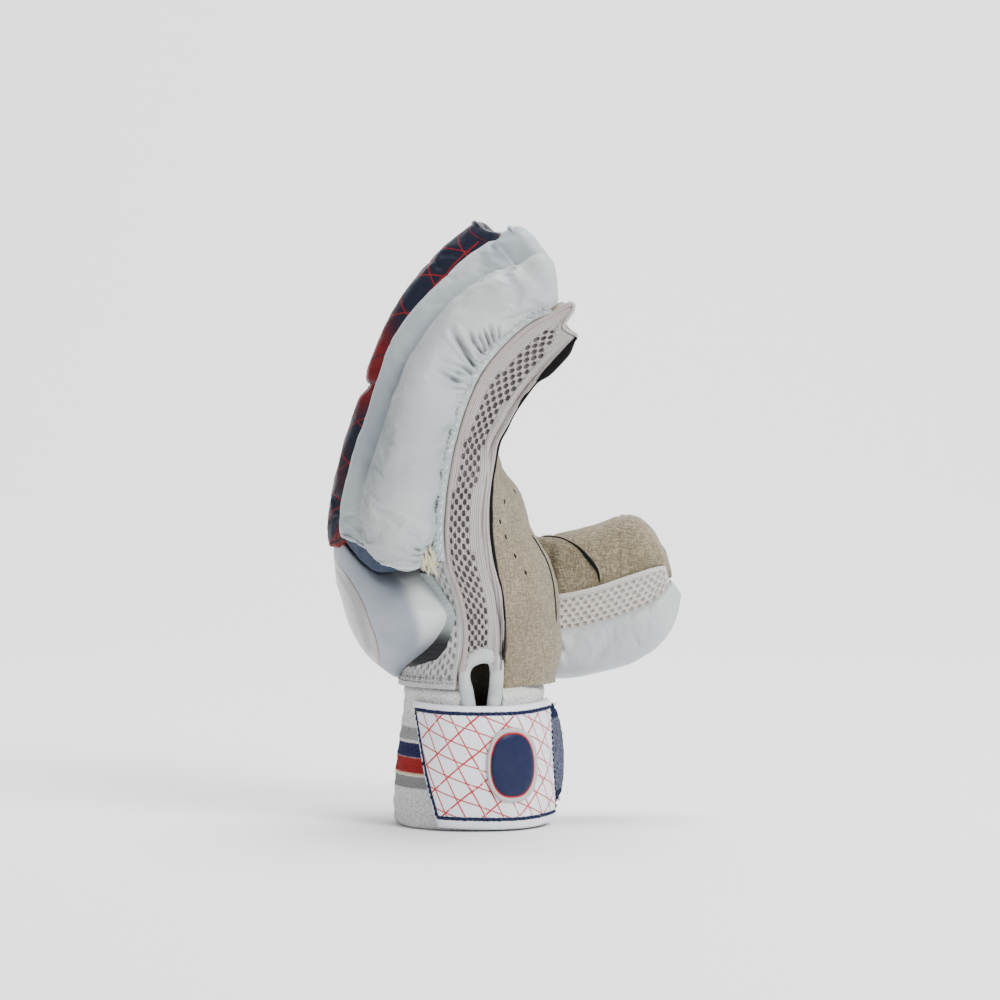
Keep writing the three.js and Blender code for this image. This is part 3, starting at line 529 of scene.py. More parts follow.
def latticeLines(m, coordinates, every, width, angles=(0.0, 62.0, 118.0)):
    # straight lines in three directions, in mm, each direction with its own spacing
    x, y, _ = m.split(coordinates)
    total = None
    for k, angle in enumerate(angles):
        c, s = math.cos(math.radians(angle)), math.sin(math.radians(angle))
        along = m.math("ADD", m.math("MULTIPLY", x, c), m.math("MULTIPLY", y, s))
        spot = m.math("PINGPONG", m.math("ADD", along, 1.7 * k + 200 * every), every * (0.5 + 0.06 * k))
        line = m.ramp(spot, width * 0.5, width * 0.5 + 0.22, 1, 0)
        total = line if total is None else m.math("MAXIMUM", total, line)
    return total


def printedMaterial(name):  # navy leather that shades to red, with straight red lines
    m = Nodes(name, **{"Specular IOR Level": 0.32, "Coat Weight": 0.05, "Coat Roughness": 0.3})
    spot = m.attribute("spot").outputs["Vector"]
    tint = m.attribute("tint").outputs["Fac"]
    patch = m.math("ADD", tint, m.math("MULTIPLY", m.math("SUBTRACT", m.noise(22, 3), 0.5), 0.9))
    base = m.mix(m.ramp(patch, 0.38, 0.72), printColours["navy"], printColours["red"])
    lines = latticeLines(m, spot, printColours["lineEvery"], printColours["lineWidth"])
    lineColour = m.mix(m.ramp(patch, 0.5, 0.75), printColours["brightRed"], printColours["deepNavy"])
    colour = m.mix(lines, base, lineColour)
    pores = m.cells(1200)
    first = m.bump(pores, 0.00016, 0.3)
    second = m.bump(m.noise(220, 4, 0.6), 0.0005, 0.3, first)
    return m.finish(colour, m.ramp(m.noise(380, 2), 0.3, 0.7, 0.4, 0.56), second)


printedLeather = printedMaterial("printedLeather")

suede = {"light": (0.265, 0.22, 0.142, 1), "dark": (0.155, 0.126, 0.077, 1), "threadEvery": 1.15}  # mm


def suedeMaterial(name, light, dark):
    m = Nodes(name, 0.92, **{"Specular IOR Level": 0.2, "Sheen Weight": 0.2, "Sheen Roughness": 0.5})
    grains = 1500 / suede["threadEvery"]
    warp = m.noise(grains, 2, 0.6, stretch=(1, 1, 0.3))
    weft = m.noise(grains, 2, 0.6, stretch=(0.3, 0.3, 1))
    canvas = m.ramp(m.math("ADD", warp, weft), 0.82, 1.18)
    nap = m.noise(1500, 4, 0.7)
    speck = m.ramp(m.noise(1100, 2, 0.6), 0.58, 0.7)
    patch = m.ramp(m.noise(45, 4, 0.6), 0.3, 0.7)
    tone = m.mix(m.math("ADD", m.math("MULTIPLY", patch, 0.55), m.math("MULTIPLY", nap, 0.45)), dark, light)
    # painted highlight on the weave's raised threads, and painted shade in its hollows
    tone = m.mix(m.ramp(canvas, 0.5, 1.0, 0, 0.35), tone, (0.43, 0.375, 0.265, 1))
    tone = m.mix(m.ramp(canvas, 0.0, 0.5, 0.4, 0), tone, (0.13, 0.105, 0.065, 1))
    tone = m.mix(m.math("MULTIPLY", speck, 0.6), tone, (0.1, 0.08, 0.05, 1))
    first = m.bump(canvas, 0.0005, 0.8)
    second = m.bump(nap, 0.0005, 0.5, first)
    third = m.bump(m.noise(70, 3, 0.6), 0.0016, 0.3, second)
    return m.finish(tone, None, third)


palmSuede = suedeMaterial("palmSuede", suede["light"], suede["dark"])

knit = {"yarn": (0.48, 0.44, 0.43, 1), "shade": (0.27, 0.24, 0.235, 1), "rib": 0.85}


def knitMaterial(name, yarn, shade, rib=0.85, bumpSize=0.00028):
    m = Nodes(name, 0.85, **{"Specular IOR Level": 0.25, "Sheen Weight": 0.2})
    across, along, _ = m.split(m.attribute("spot").outputs["Vector"])
    courses = m.math("SINE", m.math("MULTIPLY", along, 2 * math.pi / 0.62))
    slanted = m.math("ADD", m.math("MULTIPLY", across, 2 * math.pi / rib), m.math("MULTIPLY", courses, 0.5))
    ribs = m.math("SINE", slanted)
    loops = m.math("ADD", m.math("MULTIPLY", ribs, 0.7), m.math("MULTIPLY", courses, 0.3))
    tone = m.mix(m.ramp(loops, -1.0, 0.7), shade, yarn)
    tone = m.mix(m.ramp(m.noise(60, 3), 0.4, 0.75, 0, 0.25), tone, shade)
    first = m.bump(loops, bumpSize, 0.6)
    second = m.bump(m.noise(2400, 2), 0.0001, 0.5, first)
    return m.finish(tone, None, second)


knitMesh = knitMaterial("knitMesh", knit["yarn"], knit["shade"])
knitLight = knitMaterial("knitLight", (0.6, 0.59, 0.585, 1), (0.42, 0.41, 0.405, 1), 1.1)
seamTape = knitMaterial("seamTape", (0.4, 0.345, 0.33, 1), (0.22, 0.185, 0.18, 1), 0.7)


def plainCloth(name, light, dark, scale=900.0, roughness=0.9, depth=0.0003):
    m = Nodes(name, roughness, **{"Specular IOR Level": 0.15, "Sheen Weight": 0.04})
    threads = m.noise(scale, 3, 0.65)
    tone = m.mix(m.ramp(threads, 0.3, 0.7), dark, light)
    first = m.bump(threads, depth, 0.6)
    return m.finish(tone, None, first)


# painted shade: the dark grey-brown sheet behind the gussets' holes stands in for the shade inside the glove
meshShadeBacking = plainCloth("meshShadeBacking", (0.2, 0.18, 0.175, 1), (0.11, 0.097, 0.094, 1))
# painted shade: the grey floor that closes each hole of the back panel stands in for the shade inside the hole
holeShadeFloor = plainCloth("holeShadeFloor", (0.27, 0.27, 0.28, 1), (0.18, 0.18, 0.185, 1))
thumbKnit = knitMaterial("thumbKnit", (0.64, 0.61, 0.575, 1), (0.48, 0.45, 0.42, 1), 1.1)
thumbFloor = plainCloth("thumbFloor", (0.42, 0.36, 0.325, 1), (0.3, 0.255, 0.23, 1))
blackCloth = plainCloth("blackCloth", (0.004, 0.004, 0.005, 1), (0.001, 0.001, 0.001, 1))
navyCloth = plainCloth("navyCloth", (0.055, 0.072, 0.11, 1), (0.03, 0.042, 0.07, 1), 1500)
lining = plainCloth("lining", (0.35, 0.33, 0.3, 1), (0.24, 0.22, 0.2, 1))
creamThread = plainCloth("creamThread", (0.6, 0.585, 0.42, 1), (0.4, 0.38, 0.25, 1), 3000, depth=0.0001)
whiteThread = plainCloth("whiteThread", (0.78, 0.8, 0.79, 1), (0.58, 0.6, 0.59, 1), 3000, depth=0.0001)
greyThread = plainCloth("greyThread", (0.36, 0.36, 0.35, 1), (0.22, 0.22, 0.22, 1), 3000, depth=0.0001)
navyThread = plainCloth("navyThread", (0.008, 0.016, 0.07, 1), (0.002, 0.005, 0.03, 1), 3000, depth=0.0001)
blackThread = plainCloth("blackThread", (0.015, 0.015, 0.017, 1), (0.005, 0.005, 0.006, 1), 3000, depth=0.0001)

stripes = [  # the wristband's woven bands: lower and upper edge in mm, and colour
    (16.7, 21.6, (0.2, 0.2, 0.2, 1)),
    (22.2, 23.0, (0.6, 0.4, 0.22, 1)),
    (23.0, 29.4, (0.26, 0.001, 0.001, 1)),
    (29.5, 35.4, (0.0003, 0.003, 0.05, 1)),
    (36.5, 41.8, (0.26, 0.26, 0.265, 1)),
]


def terryMaterial():
    m = Nodes("terry", 1.0, **{"Specular IOR Level": 0.05, "Sheen Weight": 0.02, "Sheen Roughness": 0.6})
    z = m.split(m.coordinates)[2]
    loops = m.cells(950)
    fuzz = m.noise(1700, 3, 0.7)
    ragged = m.math("ADD", m.math("MULTIPLY", z, 1000.0), m.math("MULTIPLY", m.math("SUBTRACT", fuzz, 0.5), 1.6))
    tone = m.mix(m.ramp(loops, 0.15, 0.8), (0.74, 0.735, 0.72, 1), (0.52, 0.51, 0.5, 1))
    for low, high, colour in stripes:
        inside = m.math("MULTIPLY", m.ramp(ragged, low - 0.25, low + 0.25), m.ramp(ragged, high - 0.25, high + 0.25, 1, 0))
        # the stripe's dye, with a faint painted highlight of pale grey on the fuzz
        dyedWithHighlight = m.mix(m.ramp(fuzz, 0.55, 0.8, 0, 0.05), colour, (0.5, 0.49, 0.48, 1))
        tone = m.mix(m.math("MULTIPLY", inside, 0.97), tone, dyedWithHighlight)
    first = m.bump(loops, 0.0007, 0.7)
    first.node.invert = True
    second = m.bump(fuzz, 0.0005, 0.6, first)
    return m.finish(tone, None, second)


terry = terryMaterial()

# stage, light and camera

view = {"distance": 1.7, "elevation": 1.5, "mmPerPixel": 0.4235, "targetX": 8.47, "targetZ": 136.4}


def makeStage():
    floorMaterial = Nodes("floor", 0.9)
    speckle = floorMaterial.noise(300, 2)
    floorMaterial.finish(floorMaterial.mix(speckle, (0.88, 0.88, 0.88, 1), (0.9, 0.9, 0.9, 1)))
    sweep = []
    for k in range(25):  # floor that curves up into a wall behind
        a = quarter * k / 24
        sweep.append((1.2 + 1.2 * math.sin(a), 1.2 - 1.2 * math.cos(a)))
    profile = [(-6.0, 0.0)] + sweep + [(2.4, 6.0)]
    points = [(x, y, z) for y, z in profile for x in (-7, 7)]
    faces = [(2 * k, 2 * k + 1, 2 * k + 3, 2 * k + 2) for k in range(len(profile) - 1)]
    mesh = makeMesh("floor", points, faces, closed=False)
    floor = bpy.data.objects.new("floor", mesh)
    floor.location.z = -0.0002
    mesh.materials.append(floorMaterial.material)
    bpy.context.scene.collection.objects.link(floor)


def addLight(name, where, target, size, power, colour=(1, 1, 1)):
    light = bpy.data.lights.new(name, "AREA")
    light.shape, light.size, light.energy, light.color = "DISK", size, power, colour
    lamp = bpy.data.objects.new(name, light)
    lamp.location = where
    lamp.rotation_euler = (Vector(target) - Vector(where)).to_track_quat("-Z", "Y").to_euler()
    bpy.context.scene.collection.objects.link(lamp)


def makeCamera():
    camera = bpy.data.objects.new("camera", bpy.data.cameras.new("camera"))
    target = Vector(toRow(view["targetX"], 0, view["targetZ"]))
    tilt = math.radians(view["elevation"])
    back = Vector((0, -math.cos(tilt), math.sin(tilt)))
    camera.location = target + back * view["distance"]
    camera.rotation_euler = (-back).to_track_quat("-Z", "Y").to_euler()
    camera.data.angle = 2 * math.atan(view["mmPerPixel"] * 0.5 / view["distance"])
    camera.data.clip_end = 40
    bpy.context.scene.collection.objects.link(camera)
    bpy.context.scene.camera = camera


def inPicture(points):  # where points in metres show in the picture, in its pixels
    tilt = math.radians(view["elevation"])
    back = np.array([0, -math.cos(tilt), math.sin(tilt)])
    up = np.array([0, math.sin(tilt), math.cos(tilt)])
    eye = toRow(view["targetX"], 0, view["targetZ"]) + back * view["distance"]
    offset = points - eye
    near = view["distance"] / -(offset @ back)
    scale = view["mmPerPixel"] / 1000
    return np.stack([500 + offset[..., 0] * near / scale, 500 - (offset @ up) * near / scale], axis=-1)


def sharesSeen(grid, spots, facing):  # shares of a surface's rows and columns that show at given pixels
    seen = inPicture(grid)
    hidden = gridNormals(grid, False)[..., 1] * facing > 0.02
    rows, columns = grid.shape[:2]
    shares = []
    for spot in spots:
        away = ((seen - spot) ** 2).sum(axis=-1) + hidden * 1e7
        i, j = np.unravel_index(np.argmin(away), away.shape)
        i, j = min(max(i, 1), rows - 2), min(max(j, 1), columns - 2)
        steps = np.stack([(seen[i + 1, j] - seen[i - 1, j]) / 2, (seen[i, j + 1] - seen[i, j - 1]) / 2], axis=1)
        more = np.clip(np.linalg.lstsq(steps, np.asarray(spot) - seen[i, j], rcond=None)[0], -1, 1)
        shares.append(((i + more[0]) / (rows - 1), (j + more[1]) / (columns - 1)))
    return np.array(shares).T


def seenOn(grid, spots, facing):  # points of a surface, and their normals, that show at given pixels
    points, normals = surfaceSampler(grid)(*sharesSeen(grid, spots, facing))
    return points, normals * facing


makeStage()
addLight("keyLight", (1.2, -1.5, 1.5), (0, 0, 0.12), 1.0, 74)
addLight("fillLight", (-1.5, -1.2, 0.9), (0, 0, 0.12), 1.4, 4, (0.85, 0.92, 1))
addLight("topLight", (0.3, 0.4, 2.2), (0, 0, 0.1), 1.8, 50)
addLight("wallLight", (0, 0.9, 2.6), (0, 2.4, 0.2), 2.0, 74)
world = bpy.data.worlds.new("studio")
world.use_nodes = True
world.node_tree.nodes["Background"].inputs["Color"].default_value = (1, 1, 1, 1)
world.node_tree.nodes["Background"].inputs["Strength"].default_value = 0.36
bpy.context.scene.world = world
makeCamera()
print("stage, lights and camera")

# wristband, strap, badge and tab

wrist = {
    "z": [0, 8, 34, 57.9],
    "reachX": [32.2, 33, 31.6, 30.4],
    "reachY": [38.4, 39, 38.2, 37.6],
}
wristShape = {"middleX": -3.5, "corner": 0.92, "wall": 4.0, "notch": (-9.4, 10.2), "notchLow": 46.0, "top": 62.5}


def wristPoint(angle, z, grow):
    drawnIn = 1.1 * easeBetween(z, 20, 58)  # the back of the wrist comes in towards the hem
    x = (smooth(wrist, "reachX", z) - drawnIn + grow) * signedPower(np.cos(angle), wristShape["corner"])
    y = (smooth(wrist, "reachY", z) + grow) * signedPower(np.sin(angle), wristShape["corner"])
    return toRow(wristShape["middleX"] + drawnIn + x, y, z)


def wristAngle(axis, value):  # the angle at which the outline reaches a place along x on the near side, or along y
    share = (value - wristShape["middleX"]) / 33.4 if axis == "x" else value / 39.6
    straight = np.sign(share) * np.abs(share) ** (1 / wristShape["corner"])
    return -np.arccos(straight) if axis == "x" else np.arcsin(straight)


def makeWristband():
    columns, rows = 300, 76
    left, right = wristAngle("x", wristShape["notch"][0]), wristAngle("x", wristShape["notch"][1])
    inNotch = np.linspace(left, right, 28)
    rest = np.linspace(right, left + 4 * quarter, columns - 28 + 2)[1:-1]
    angles = np.concatenate([inNotch, rest])
    z = np.linspace(0, wristShape["top"], rows)
    aa, zz = np.meshgrid(angles, z)
    lump = 0.16 * np.sin(zz * 0.9 + np.sin(aa * 3)) * easeBetween(zz, 3, 8)
    hem = 0.5 * np.exp(-((zz - 2.6) / 1.6) ** 2) + 0.45 * np.exp(-((zz - 55.6) / 1.4) ** 2)
    ends = -1.1 * np.exp(-zz / 0.9) - 1.7 * easeBetween(zz, 57.2, 59.5)  # its top goes up inside the hand
    outer = wristPoint(aa, zz, lump + hem + ends)
    fuzz = softNoise(outer, 1.5, 3) * 0.22 + softNoise(outer, 7, 4) * 0.35
    fuzz[0] = fuzz[-1] = 0
    outer = wristPoint(aa, zz, lump + hem + ends + fuzz)
    inner = wristPoint(aa, zz, -wristShape["wall"] + 0.4 * softNoise(outer, 3, 5))
    keep = np.ones((rows - 1, columns), bool)
    middle = (zz[:-1] + zz[1:]) / 2
    keep[:, :27] = middle[:, :27] < wristShape["notchLow"]
    mesh = shellMesh("wristband", outer, inner, keep, wrap=True)
    piece = addPiece("wristbandTerry", mesh, terry, ["wristband"])


strap = {
    "low": 1.6, "lowDip": 0.9, "high": 53.2, "highDip": 1.2, "leftLowX": -16.8, "leftHighX": -30.6, "rightY": -8.0,
    "rightBulge": 2.2, "clear": 1.5, "endClear": 0.5, "thickness": 2.2, "girthRadius": 37.0,
    "navyIn": 2.4, "navyWidth": 1.5, "leftShift": 1.3, "lowShift": -1.1, "lineEvery": 7.2, "lineWidth": 0.42,
}


def strapSpot(share, across):  # angle, height in mm and clearance at shares of the strap's height and length
    bow = np.maximum(np.sin(np.pi * across), 0)
    low = strap["low"] - strap["lowDip"] * bow
    z = low + (strap["high"] - strap["highDip"] * bow - low) * share
    left = wristAngle("x", strap["leftLowX"] + (strap["leftHighX"] - strap["leftLowX"]) * share)
    right = wristAngle("y", strap["rightY"] + strap["rightBulge"] * np.sin(np.pi * share))
    clear = strap["endClear"] + (strap["clear"] - strap["endClear"]) * np.sqrt(bow)
    return left + (right - left) * across, z, clear + 0 * z, left, right


def strapGrid(rows, columns):  # also the distance along it and from its edges, in mm
    share, across = np.linspace(0, 1, rows)[:, None], np.linspace(0, 1, columns)[None, :]
    angle, z, clear, left, right = strapSpot(share, across)
    along = (angle - left) * strap["girthRadius"]
    total = (right - left) * strap["girthRadius"]
    ends = np.minimum(along, total - along)
    real = np.minimum(np.minimum(z - z[:1], z[-1:] - z), ends)
    drawn = np.minimum(np.minimum(z - z[:1] + strap["lowShift"], z[-1:] - z),
                       np.minimum(along + strap["leftShift"], total - along))
    return angle, z, clear, along, real, drawn


def strapMaterial():
    m = Nodes("strapLeather", 0.5, **{"Specular IOR Level": 0.4, "Coat Weight": 0.08, "Coat Roughness": 0.4})
    spot = m.attribute("spot").outputs["Vector"]
    edge = m.attribute("edge").outputs["Fac"]
    white = m.mix(m.ramp(m.noise(35, 3), 0.35, 0.7), (0.72, 0.73, 0.8, 1), (0.78, 0.785, 0.83, 1))
    lines = latticeLines(m, spot, strap["lineEvery"], strap["lineWidth"], (8.0, 66.0, 124.0))
    worn = m.ramp(m.noise(700, 2), 0.28, 0.36)
    inside = m.ramp(edge, strap["navyIn"] + strap["navyWidth"], strap["navyIn"] + strap["navyWidth"] + 0.3)
    red = m.math("MULTIPLY", m.math("MULTIPLY", lines, inside), worn)
    colour = m.mix(red, white, (0.42, 0.008, 0.012, 1))
    ragged = m.math("ADD", edge, m.math("MULTIPLY", m.math("SUBTRACT", m.noise(900, 3, 0.7), 0.5), 0.9))
    navyLow = m.ramp(ragged, strap["navyIn"] - 0.15, strap["navyIn"] + 0.15)
    navyHigh = m.ramp(ragged, strap["navyIn"] + strap["navyWidth"], strap["navyIn"] + strap["navyWidth"] + 0.25, 1, 0)
    colour = m.mix(m.math("MULTIPLY", navyLow, navyHigh), colour, (0.001, 0.005, 0.035, 1))
    first = m.bump(m.cells(1250), 0.00014, 0.25)
    second = m.bump(m.noise(150, 3), 0.0006, 0.25, first)
    return m.finish(colour, m.ramp(m.noise(380, 2), 0.3, 0.7, 0.42, 0.56), second)


def makeStrap():
    angle, z, clear, along, real, drawn = strapGrid(90, 180)
    soft = 1 - np.exp(-np.maximum(real, 0) / 0.45)
    channel = -0.35 * np.exp(-((drawn - strap["navyIn"] - 0.7) / 0.8) ** 2)
    waves = 0.35 * np.sin(along * 0.21 + 0.6) * np.sin(z * 0.075 + 1.2)
    outer = wristPoint(angle, z, clear + strap["thickness"] * (0.45 + 0.55 * soft) + channel + waves * soft)
    inner = wristPoint(angle, z, clear + 0.15 * (1 - soft))
    spot = np.stack([along, z, 0 * z], axis=-1)
    mesh = shellMesh("wrist_strap", outer, inner, attributes={"spot": spot, "edge": drawn})
    addPiece("strapFace", mesh, strapMaterial(), ["wrist_strap"])
    # navy stitches along the border, through points of the face where the drawn distance is the border's
    inset = strap["navyIn"] + 0.5 * strap["navyWidth"]
    at = surfaceSampler(outer)
    high, wide = strap["high"] - strap["low"], 86.0
    left, right = (inset - strap["leftShift"]) / wide, 1 - inset / wide
    low, top = (inset - strap["lowShift"]) / high, 1 - inset / high
    corners = [(low, left), (top, left), (top, right), (low, right), (low, left)]
    for k, name in enumerate(("Left", "Top", "Right", "Low")):
        t = np.linspace(0, 1, 100)
        s = corners[k][0] + (corners[k + 1][0] - corners[k][0]) * t
        a = corners[k][1] + (corners[k + 1][1] - corners[k][1]) * t
        line = at(s, a)[0]
        outward = line - toRow(wristShape["middleX"], 0, line[:, 2] * 1000)
        mesh = stitchMesh("strapStitches" + name, line, outward, 0.0024, 0.0019, 0.00042, 0.0002, 0.35)
        addPiece("strapStitches" + name, mesh, navyThread, ())


badge = {"x": 12.0, "z": 27.5, "halfWidth": 9.6, "halfHeight": 15.5, "thickness": 1.9}


def makeBadge():
    grow = strap["clear"] + strap["thickness"] + 0.1
    angles = np.linspace(0, 4 * quarter, 96, endpoint=False)
    # share of the outline, lift in mm, and tone: 0 grey rim, 1 red line, 2 navy field
    profile = [(1.0, -0.3, 0), (1.0, 0.9, 0), (0.985, 1.3, 0), (0.955, 1.5, 0), (0.92, 1.5, 0), (0.895, 1.35, 0),
               (0.88, 1.0, 0), (0.87, 0.95, 1), (0.845, 0.95, 1), (0.835, 1.05, 1), (0.825, 1.3, 2), (0.8, 1.5, 2),
               (0.7, 1.62, 2), (0.55, 1.72, 2), (0.38, 1.8, 2), (0.2, 1.84, 2), (0.07, 1.86, 2)]
    rings, tones = [], []
    for share, lift, tone in profile:
        outlineX = badge["x"] + badge["halfWidth"] * signedPower(np.cos(angles), 0.8) * share
        outlineZ = badge["z"] + badge["halfHeight"] * signedPower(np.sin(angles), 0.9) * share
        rings.append(wristPoint(wristAngle("x", outlineX), outlineZ, grow + lift))
        tones.append(np.full(len(angles), float(tone)))
    mesh = closedLoft("strap_badge", np.array(rings), {"tone": np.array(tones)})
    m = Nodes("badgeRubber", 0.42, **{"Specular IOR Level": 0.3})
    tone = m.attribute("tone").outputs["Fac"]
    colour = m.mix(m.ramp(tone, 0.45, 0.55), (0.42, 0.41, 0.4, 1), (0.4, 0.006, 0.01, 1))
    colour = m.mix(m.ramp(tone, 1.45, 1.55), colour, (0.001, 0.005, 0.04, 1))
    dust = m.mix(m.ramp(m.noise(300, 4), 0.5, 0.8, 0, 0.01), colour, (0.4, 0.4, 0.42, 1))
    normal = m.bump(m.noise(1800, 3), 0.0001, 0.4)
    addPiece("badgeRubber", mesh, m.finish(dust, m.ramp(m.noise(260, 2), 0.3, 0.7, 0.36, 0.55), normal), ["strap_badge"])


tab = {"low": 10.0, "high": 48.0, "fromY": -5.6, "toY": 9.0, "middleReach": 5.0, "lift": 6.6, "thickness": 2.6}


def makeTab():
    rows, columns = 60, 40
    share = np.linspace(0, 1, rows)[:, None]
    across = np.linspace(0, 1, columns)[None, :]
    z = tab["low"] + (tab["high"] - tab["low"]) * share + 0 * across
    start = wristAngle("y", tab["fromY"])
    stop = wristAngle("y", tab["toY"] + tab["middleReach"] * np.sin(np.pi * share))
    angle = start + (stop - start) * across
    clear = strap["endClear"] + tab["lift"] * across * (0.4 + 0.6 * np.sin(np.pi * share))
    ends = np.minimum(np.minimum(share, 1 - share) * (tab["high"] - tab["low"]), (1 - across) * 16)
    soft = 1 - np.exp(-np.maximum(ends, 0) / 0.8)
    outer = wristPoint(angle, z, clear + tab["thickness"] * (0.5 + 0.5 * soft))
    outer = outer + (softNoise(outer, 2.2, 8)[..., None] * 0.25 / 1000) * np.array([1, 0, 0])
    inner = wristPoint(angle, z, clear)
    m = Nodes("tabCloth", 1.0, **{"Specular IOR Level": 0.05, "Sheen Weight": 0.02})
    edge = m.attribute("edge").outputs["Fac"]
    fuzz = m.noise(1500, 4, 0.7)
    ragged = m.math("ADD", edge, m.math("MULTIPLY", m.math("SUBTRACT", fuzz, 0.5), 2.6))
    body = m.mix(m.ramp(fuzz, 0.4, 0.62), (0.012, 0.018, 0.05, 1), (0.16, 0.17, 0.22, 1))
    colour = m.mix(m.ramp(ragged, 3.4, 4.4), (0.003, 0.007, 0.035, 1), body)
    normal = m.bump(fuzz, 0.0006, 0.8)
    mesh = shellMesh("strap_tab", outer, inner, attributes={"edge": ends})
    addPiece("tabCloth", mesh, m.finish(colour, None, normal), ["strap_tab"])
    # loose threads along its cut edge
    points, faces = [], []
    rim = np.concatenate([outer[0, 12::2], outer[:, -1], outer[-1, :12:-2]])
    middle = outer[rows // 2, columns // 3]
    for p in rim:
        for _ in range(5):
            away = p - middle
            away /= np.linalg.norm(away)
            away = away + rng.normal(0, 0.5, 3)
            length = rng.uniform(0.0005, 0.0012)
            curl = rng.normal(0, 0.5, 3) * length
            t = np.linspace(0, 1, 4)[:, None]
            line = p + away * length * t + curl * t * t
            tube = tubePoints(line, 0.00011, 3, up=(0.3, 0.5, 0.8))
            base = sum(len(q) for q in points)
            points.append(tube.reshape(-1, 3))
            faces += [tuple(q) for q in gridQuads(4, 3, wrapColumns=True, start=base)]
            faces += [(base + 2, base + 1, base), (base + 9, base + 10, base + 11)]
    addPiece("tabThreads", makeMesh("tabThreads", np.concatenate(points), faces), navyThread, ())


binding = {
    "x": [-4.3, -5.3, -6.3, -4.5, 1.2, 5.9, 7.2, 6.5, 5.1],
    "z": [47.5, 57, 65.0, 70.6, 73.6, 71.9, 66.5, 57, 47.5],
    "radius": [3.3, 3.0, 2.45, 3.1, 3.6, 3.2, 2.9, 3.0, 3.1],
    "outwards": 1.1,
}


def bindingSurface(x, z):
    low = wristPoint(wristAngle("x", x), np.minimum(z, 57.9), 0)[..., 1] * 1000 - shiftY
    u = np.clip((z - 60.5) / 11.5, 0, 2)
    high = -smooth(hand, "half", u) + 0.4
    return low + (high - low) * easeBetween(z, 55, 63)


def makeBinding():
    knots = np.arange(len(binding["x"]))
    table = {"k": list(knots), "x": binding["x"], "z": binding["z"], "radius": binding["radius"]}
    t = np.linspace(0, len(knots) - 1, 200)
    x, z = smooth(table, "x", t), smooth(table, "z", t)
    path = toRow(x, bindingSurface(x, z) + binding["outwards"], z)
    sides = 28
    rings = tubePoints(path, smooth(table, "radius", t) / 1000, sides, 0.85)
    # puckers where the leather turns, and a few on the right leg
    reach = np.linspace(0, 1, 200)[:, None]
    angles = np.linspace(0, 4 * quarter, sides, endpoint=False)[None, :]
    turn = np.exp(-((reach - 0.5) / 0.16) ** 2)
    inside = 0.5 + 0.5 * np.cos(angles + math.pi)
    wave = 0.34 * turn * inside * np.sin(reach * 260 + 2 * np.sin(angles))
    leg = 0.3 * np.exp(-((reach - 0.72) / 0.05) ** 2) * np.sin(reach * 420 + angles)
    centre = path[:, None]
    rings = centre + (rings - centre) * (1 + 0.16 * (wave + leg)[..., None])
    rings += softNoise(rings, 6, 12)[..., None] * 0.00018
    mesh = closedLoft("vent_binding", rings)
    piece = addPiece("ventBinding", mesh, whiteLeather, ["vent_binding"])
    # a near-black sheet behind the slit: painted shadow of the glove's inside
    zs = np.linspace(40, 74, 30)[:, None]
    share = np.linspace(0, 1, 14)[None, :]
    halfGap = np.interp(zs, [40, 66, 71, 74], [6.4, 6.6, 4.6, 3.2])
    xs = 0.4 + (share * 2 - 1) * halfGap
    deep = 3.2 + 5.5 * np.sin(np.pi * share) * np.ones_like(zs)
    back = toRow(xs, bindingSurface(xs, zs) + deep, zs)
    front = toRow(xs, bindingSurface(xs, zs) + deep - 0.7, zs)
    addPiece("ventShadowSheet", shellMesh("ventShadowSheet", front, back), paintedShadowCloth, ())


# painted shadow: near-black cloth that stands in for the shade inside the vent
paintedShadowCloth = plainCloth("paintedShadowCloth", (0.022, 0.017, 0.013, 1), (0.01, 0.008, 0.006, 1))
makeWristband()
makeStrap()
makeBadge()
makeTab()
makeBinding()
print("wristband, strap, badge, tab and vent")

# panels of the hand

panel = {"palmWall": 2.2, "seamGap": 0.5, "farEdge": 3.0, "farLift": 3.0}


def edgeAngles(levels, side, which, shift=0.0):
    out = []
    for u in levels:
        if side < 0 and which == "seam":
            out.append(angleAtHeight(u, seamHeight(u) + shift, quarter, 2 * quarter))
        elif side < 0:
            out.append(angleAtHeight(u, float(smooth(palmEdge, "height", u)) + shift, 2 * quarter, 3 * quarter))
        elif which == "seam":
            out.append(angleAtHeight(u, seamHeight(u) + panel["farLift"] + shift, quarter, 0))
        else:
            out.append(angleAtHeight(u, panel["farEdge"] + shift, 0, -quarter))
    return np.array(out)


palmHollow = {"z": [60, 70, 84, 96, 112, 119, 125, 132, 138, 143, 147, 152, 158],
              "in": [-2.2, -2.0, -0.6, 0, 0, 1.4, 2.6, 2.4, 1.7, 2.0, 3.2, 2.2, 0]}  # mm


